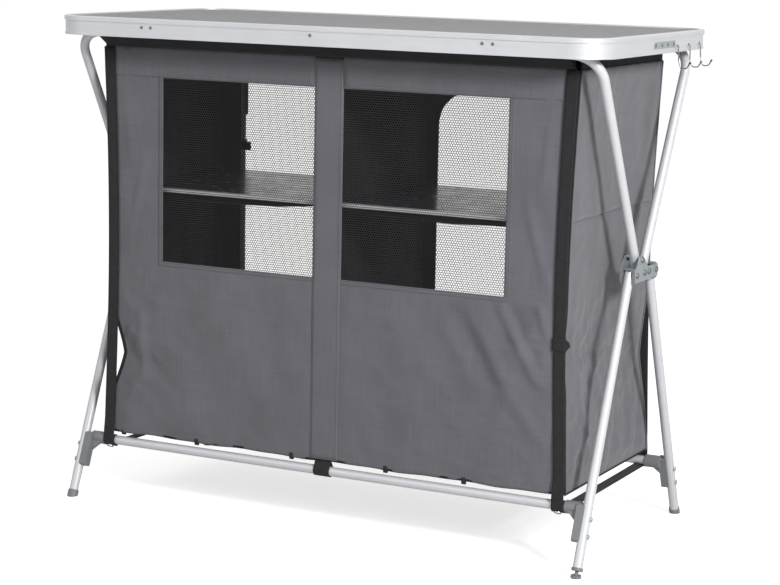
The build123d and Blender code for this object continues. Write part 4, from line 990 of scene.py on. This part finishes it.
for side, word in SIDES:
    bands = []
    for height in (TIE_LOW, TIE_HIGH):
        angles = np.linspace(-math.pi / 2, 1.5 * math.pi, 41)
        x, y = side * (ROLL_X + TIE_R * np.cos(angles)), ROLL_Y + 0.3 + TIE_R * np.sin(angles)
        ring = np.stack([x, y, np.full(41, height)], -1)
        bands.append(ribbon("tie", ring, (0, 0, 1), 16.0, black_webbing.mat, 1.2, 3))
        tail = ((ROLL_X, 184.9, 0), (396, 185.2, 0), (384, 185.3, 1), (368, 185.4, 2))
        tail = [(side * x, y, height - drop) for x, y, drop in tail]
        bands.append(ribbon("tie", tail, (0, 0, 1), 16.0, black_webbing.mat, 1.0, 3))
    ties = join(f"door_ties_{word}", *bands)
    box_piece(ties, "door_ties", slot="black_webbing")


# Zips: tape, coil of teeth and slider round each door opening
def door_path(side, grow, count=14):
    """Outline of one door opening, grown outwards, open along its outer side."""
    near, far = DOOR_NEAR - grow, DOOR_FAR
    low, high, r = DOOR_LOW - grow, DOOR_HIGH + grow, DOOR_R + grow
    points = [(far - (far - near - r) * t / 40, high) for t in range(41)]
    points += [
        (near + r - r * math.sin(a), high - r + r * math.cos(a))
        for a in np.linspace(0, math.pi / 2, count)[1:]
    ]
    points += [(near, high - r - (high - low - 2 * r) * t / 50) for t in range(1, 51)]
    points += [
        (near + r - r * math.cos(a), low + r - r * math.sin(a))
        for a in np.linspace(0, math.pi / 2, count)[1:]
    ]
    points += [(near + r + (far - near - r) * t / 40, low) for t in range(1, 41)]
    return np.array([(side * x, 0.0, z) for x, z in points])


for side, word in SIDES:
    inner, outer = door_path(side, 0.6), door_path(side, 11.5)
    rows = []
    for share in (0.0, 0.33, 0.66, 1.0):
        row = inner + (outer - inner) * share
        row[:, 1] = BOX_FACE + 0.9 + 0.25 * math.sin(math.pi * share)
        rows.append(row)
    marks = np.arange(len(inner)) * 8.0
    tape = tape_mesh(f"door_zip_tape_{word}", rows, 4.0, marks, black_webbing.mat)
    box_piece(thicken(tape, 0.7), "door_zips", slot="black_webbing")
    coil = Threads()
    line = door_path(side, 2.0)
    line[:, 1] = BOX_FACE + 1.9
    spread = door_path(side, 0.4) - door_path(side, 3.4)
    length = run_length(line)
    for s in np.arange(2, length[-1] - 2, 2.6):
        middle = np.array([np.interp(s, length, line[:, k]) for k in range(3)])
        across = np.array([np.interp(s, length, spread[:, k]) for k in range(3)])
        tooth = [middle - across * 0.8, middle + across * 0.8]
        coil.sew(tooth, (0, 1, 0), 50, np.linalg.norm(across) * 1.1, 0.75)
    box_piece(coil.piece(f"door_zip_teeth_{word}", zip_teeth.mat), slot="black_plastic")
    for grow in (8.5, 10.5):
        sewn = door_path(side, grow)
        sewn[:, 1] = BOX_FACE + 1.4
        dark_seams.sew(sewn, (0, 1, 0))


def slider(name, side):
    """Zip slider: waisted body and bail, on the inside of the rear panel."""
    x0, y0, z0 = side * 374.0, 180.0, 732.0
    outline = [
        (-5, 7), (-3.4, 7.4), (0, 5.6), (3.4, 7.4), (5, 7), (4.6, 0), (3.2, -7), (0, -7.6),
        (-3.2, -7), (-4.6, 0),
    ]
    points, faces = [], []
    for y, scale in ((1.9, 0.92), (1.4, 1.0), (-1.2, 1.0), (-1.8, 0.9)):
        points += [(x0 + px * scale, y0 + y, z0 + pz * scale) for px, pz in outline]
    n = len(outline)
    for k in range(3):
        for i in range(n):
            j = (i + 1) % n
            faces.append((k * n + i, k * n + j, (k + 1) * n + j, (k + 1) * n + i))
    faces.append(tuple(range(n)))
    faces.append(tuple(range(3 * n, 4 * n))[::-1])
    arch = [(-1.6, 4.5), (-3.4, 3.6), (-4.6, 0), (-5.6, -3.0), (-4.4, -5.2), (-1.6, -5.6)]
    arch = np.array([(x0, y0 + y, z0 + z) for y, z in arch])
    fine = np.linspace(0, len(arch) - 1, 21)
    arch = np.stack([np.interp(fine, np.arange(len(arch)), arch[:, k]) for k in range(3)], -1)
    base = len(points)
    for i, c in enumerate(arch):
        for a in np.linspace(0, 2 * math.pi, 8, endpoint=False):
            points.append((c[0] + 1.3 * math.cos(a), c[1], c[2] + 0.8 * math.sin(a)))
    for i in range(len(arch) - 1):
        for a in range(8):
            b = (a + 1) % 8
            first, second = base + 8 * i, base + 8 * i + 8
            faces.append((first + a, first + b, second + b, second + a))
    return add_mesh(name, points, faces, zinc.mat)


for side, word in SIDES:
    box_piece(slider(f"zip_slider_{word}", side), "door_zips", slot="zinc_plate")


# Webbing straps down the corners and round the bars
def strap_x(z):
    """Middle of a strap, which bows inwards between its ends."""
    share = (z - STRAP_LOW) / (BOX_TOP - STRAP_LOW)
    return STRAP_X - 8.0 * np.sin(np.pi * np.clip(share, 0, 1))


def strap_line():
    """Strap down the face, then round the front of the bar, in x, y and z."""
    zs = np.linspace(STRAP_TOP, STRAP_LOW, 60)
    upper = np.stack([strap_x(zs), np.full(60, -STRAP_Y), zs], -1)
    t = np.linspace(0, 1, 12)[1:]
    ease = np.stack([np.full(11, STRAP_X), -STRAP_Y - 4.3 * ramp(0, 1, t), STRAP_LOW - 42 * t], -1)
    angles = np.radians(np.linspace(180, 285, 16))
    y, z = -BAR[0] + 10.6 * np.cos(angles), BAR[1] + 10.6 * np.sin(angles)
    return np.concatenate([upper, ease, np.stack([np.full(16, STRAP_X), y, z], -1)])


base_line = strap_line()
for sx, sy, word in CORNERS:
    line = base_line * np.array([sx, -sy, 1])
    strap = ribbon(f"corner_strap_{word}", line, (1, 0, 0), STRAP_WIDTH, black_webbing.mat, 1.3, 5)
    box_piece(strap, "corner_straps", slot="black_webbing")
    edge = line.copy()
    edge[:, 1] += sy * 0.75
    for off in (-9.0, 9.0):
        dark_seams.sew(edge[:60] + np.array([off, 0, 0]), (0, sy, 0))
    for off in (-7.5, 7.5):
        dark_seams.sew([edge[1] + (off, 0, 0), edge[5] + (-off, 0, 0)], (0, sy, 0))
    for i in (1, 5):
        dark_seams.sew([edge[i] + (-7.5, 0, 0), edge[i] + (7.5, 0, 0)], (0, sy, 0))

# Sewn patch of tape on the front right strap, and the tab beside it
patch_x = strap_x(362)
patch = ribbon(
    "strap_patch_front_right", [(patch_x, -187.9, z) for z in np.linspace(373, 352, 6)],
    (1, 0, 0), STRAP_WIDTH + 4, black_webbing.mat, 0.8, 4,
)
box_piece(patch, slot="black_webbing")
tab_x = patch_x + STRAP_WIDTH / 2
tab = add_mesh(
    "strap_tab_front_right",
    [(tab_x - 2, -187.2, 373), (tab_x + 6, -186.6, 368), (tab_x + 8, -186.0, 361),
     (tab_x + 1, -186.8, 353), (tab_x - 2, -187.2, 353)],
    [(0, 4, 3, 2, 1)], black_webbing.mat, smooth=False,
)
box_piece(thicken(tab, 1.0), slot="black_webbing")


# Under straps between the bars
def under_line():
    angles = np.radians(np.linspace(75, 270, 28))
    front = np.stack([-BAR[0] + 8.9 * np.cos(angles), BAR[1] + 8.9 * np.sin(angles)], -1)
    ys = np.linspace(-BAR[0], BAR[0], 30)[1:-1]
    low = np.stack([ys, BAR[1] - 8.9 - 0.6 * np.cos(ys / BAR[0] * math.pi / 2)], -1)
    return np.concatenate([front, low, front[::-1] * np.array([-1, 1])])


under = under_line()
for side, word in SIDES:
    path = np.stack([np.full(len(under), side * STRAP_X), under[:, 0], under[:, 1]], -1)
    name = f"under_strap_{word}"
    belt = ribbon(name, path, (1, 0, 0), STRAP_WIDTH - 1, black_webbing.mat, 1.1, 5)
    box_piece(belt, "under_straps", slot="black_webbing")

# Loops that tie the middle of the box to the bars
loop_yz = drop_line((-BAR[0], BAR[1]), (-181.6, 118.5), 9.2, 34, 4)
for end, word in ENDS:
    path = np.stack([np.full(len(loop_yz), -1.5), -end * loop_yz[:, 0], loop_yz[:, 1]], -1)
    loop = ribbon(f"bar_loop_{word}", path, (1, 0, 0), 30.0, black_webbing.mat, 1.1, 5)
    box_piece(loop, "bar_loops", slot="black_webbing")

# Corner bindings: tape folded round each upright corner
section = [
    (-5.4, 0.75), (-3.6, 0.95), (-1.8, 0.95), (-0.2, 0.95), (0.75, 0.6), (0.95, -0.4),
    (0.95, -1.4), (0.9, -2.4), (0.7, -3.4),
]
heights = steps(BOX_BOTTOM + 0.5, BOX_TOP, gap=6)
for sx, sy, word in CORNERS:
    edge = np.abs(corner_x(sx, sy, heights))
    wave = 0.15 * np.sin(0.11 * heights)
    rows = [
        np.stack([sx * (edge + a), sy * (BOX_FACE + b + wave), heights], -1) for a, b in section
    ]
    look = black_band if sy < 0 else grey_cloth
    tape = tape_mesh(f"corner_binding_{word}", rows, 2.6, heights, look.mat, -sx * sy)
    box_piece(thicken(tape, 0.8), "corner_bindings", slot="black_webbing")
    face = np.full(len(heights), sy * (BOX_FACE + 1.35))
    dark_seams.sew(np.stack([sx * (edge - 4.2), face, heights], -1), (0, sy, 0))

# Seams across the side panels
for side in (-1, 1):
    for height in SEAM_HEIGHTS:
        line = np.stack(side_place(side)(np.linspace(-172, 172, 60), np.full(60, height)), -1)
        dark_seams.sew(line + (side * 0.6, 0, 0), (side, 0, 0), radius=0.5)

box_piece(seams.piece("cloth_stitching", grey_thread.mat), slot="grey_cloth")
box_piece(dark_seams.piece("tape_stitching", black_thread.mat), slot="black_webbing")

# The studs and zip pulls, like the cloth pieces, get their own copy of their mesh data
soft_root += [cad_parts[node] for node in ("strap_snaps", "zip_pull_left", "zip_pull_right")]
for piece in soft_root:
    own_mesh(piece)

# Floor, light and camera
GROUND_HALF = 14.0
floor_mesh = bpy.data.meshes.new("ground")
square = ((-1, -1), (1, -1), (1, 1), (-1, 1))
ground_points = [(x * GROUND_HALF, y * GROUND_HALF, 0) for x, y in square]
floor_mesh.from_pydata(ground_points, [], [(0, 1, 2, 3)])
ground = bpy.data.objects.new("ground", floor_mesh)
scene.collection.objects.link(ground)
ground_mat = bpy.data.materials.new("ground")
ground_mat.use_nodes = True
tree = ground_mat.node_tree
principled = tree.nodes["Principled BSDF"]
principled.inputs["Base Color"].default_value = (0.86, 0.86, 0.86, 1)
principled.inputs["Roughness"].default_value = 0.9
principled.inputs["Specular IOR Level"].default_value = 0.1
rays = tree.nodes.new("ShaderNodeLightPath").outputs
glow = tree.nodes.new("ShaderNodeEmission")
glow.inputs["Color"].default_value = (1, 1, 1, 1)
level = maths_node(tree, "MULTIPLY", rays["Is Camera Ray"], 0.7)
tree.links.new(level, glow.inputs["Strength"])
total = tree.nodes.new("ShaderNodeAddShader")
tree.links.new(principled.outputs[0], total.inputs[0])
tree.links.new(glow.outputs[0], total.inputs[1])
tree.links.new(total.outputs[0], tree.nodes["Material Output"].inputs["Surface"])
ground.data.materials.append(ground_mat)

world = bpy.data.worlds.new("studio")
world.use_nodes = True
scene.world = world
tree = world.node_tree
background = tree.nodes["Background"]
background.inputs["Color"].default_value = (1, 1, 1, 1)
rays = tree.nodes.new("ShaderNodeLightPath").outputs
seen = maths_node(tree, "MAXIMUM", rays["Is Camera Ray"], rays["Is Glossy Ray"])
seen = maths_node(tree, "MAXIMUM", seen, rays["Is Transmission Ray"])
strength = tree.nodes.new("ShaderNodeMapRange")
strength.inputs["To Min"].default_value = 0.36
strength.inputs["To Max"].default_value = 1.0
tree.links.new(seen, strength.inputs["Value"])
tree.links.new(strength.outputs["Result"], background.inputs["Strength"])


def aim(obj, right, up, forward, place):
    """Stand a light or camera at a place in metres, looking forward."""
    axes = np.stack([right, up, -forward], -1)
    obj.matrix_world = Matrix([(*axes[k], place[k]) for k in range(3)] + [(0, 0, 0, 1)])


def area_light(name, place, size_m, power, target=(0, 0, 0.5)):
    data = bpy.data.lights.new(name, "AREA")
    data.shape = "RECTANGLE"
    data.size, data.size_y = size_m
    data.energy = power
    obj = bpy.data.objects.new(name, data)
    scene.collection.objects.link(obj)
    direction = np.array(target, float) - np.array(place, float)
    direction = direction / np.linalg.norm(direction)
    side = np.cross(direction, (0, 0, 1.0))
    side = side / np.linalg.norm(side)
    aim(obj, side, np.cross(side, direction), direction, place)


area_light("key", (3.2, -2.0, 2.1), (0.7, 0.7), 135)
area_light("fill", (-1.6, -3.4, 2.6), (2.0, 1.6), 24)

# Camera, with its focal length in pixels of a picture 780 wide
YAW, PITCH, ROLL = (math.radians(a) for a in (26.933, 9.554, 1.215))
FOCAL_PIXELS, PICTURE_WIDTH, SENSOR_MM = 2182.7, 780.0, 36.0
level_way = np.array([-math.sin(YAW), math.cos(YAW), 0.0])
forward = math.cos(PITCH) * level_way - np.array([0, 0, math.sin(PITCH)])
right = np.array([math.cos(YAW), math.sin(YAW), 0.0])
up = np.cross(right, forward)
c, s = math.cos(ROLL), math.sin(ROLL)
camera_data = bpy.data.cameras.new("camera")
camera_data.sensor_width = SENSOR_MM
camera_data.lens = FOCAL_PIXELS * SENSOR_MM / PICTURE_WIDTH
camera_data.shift_x = -0.0016
camera_data.shift_y = 0.0023
camera_data.clip_start = 0.1
camera_data.clip_end = 100.0
camera = bpy.data.objects.new("camera", camera_data)
scene.collection.objects.link(camera)
place = (1.724 + SHIFT_X / 1000, -3.337, 1.010)
aim(camera, c * right + s * up, c * up - s * right, forward, place)
scene.camera = camera
scene.view_settings.view_transform = "Standard"
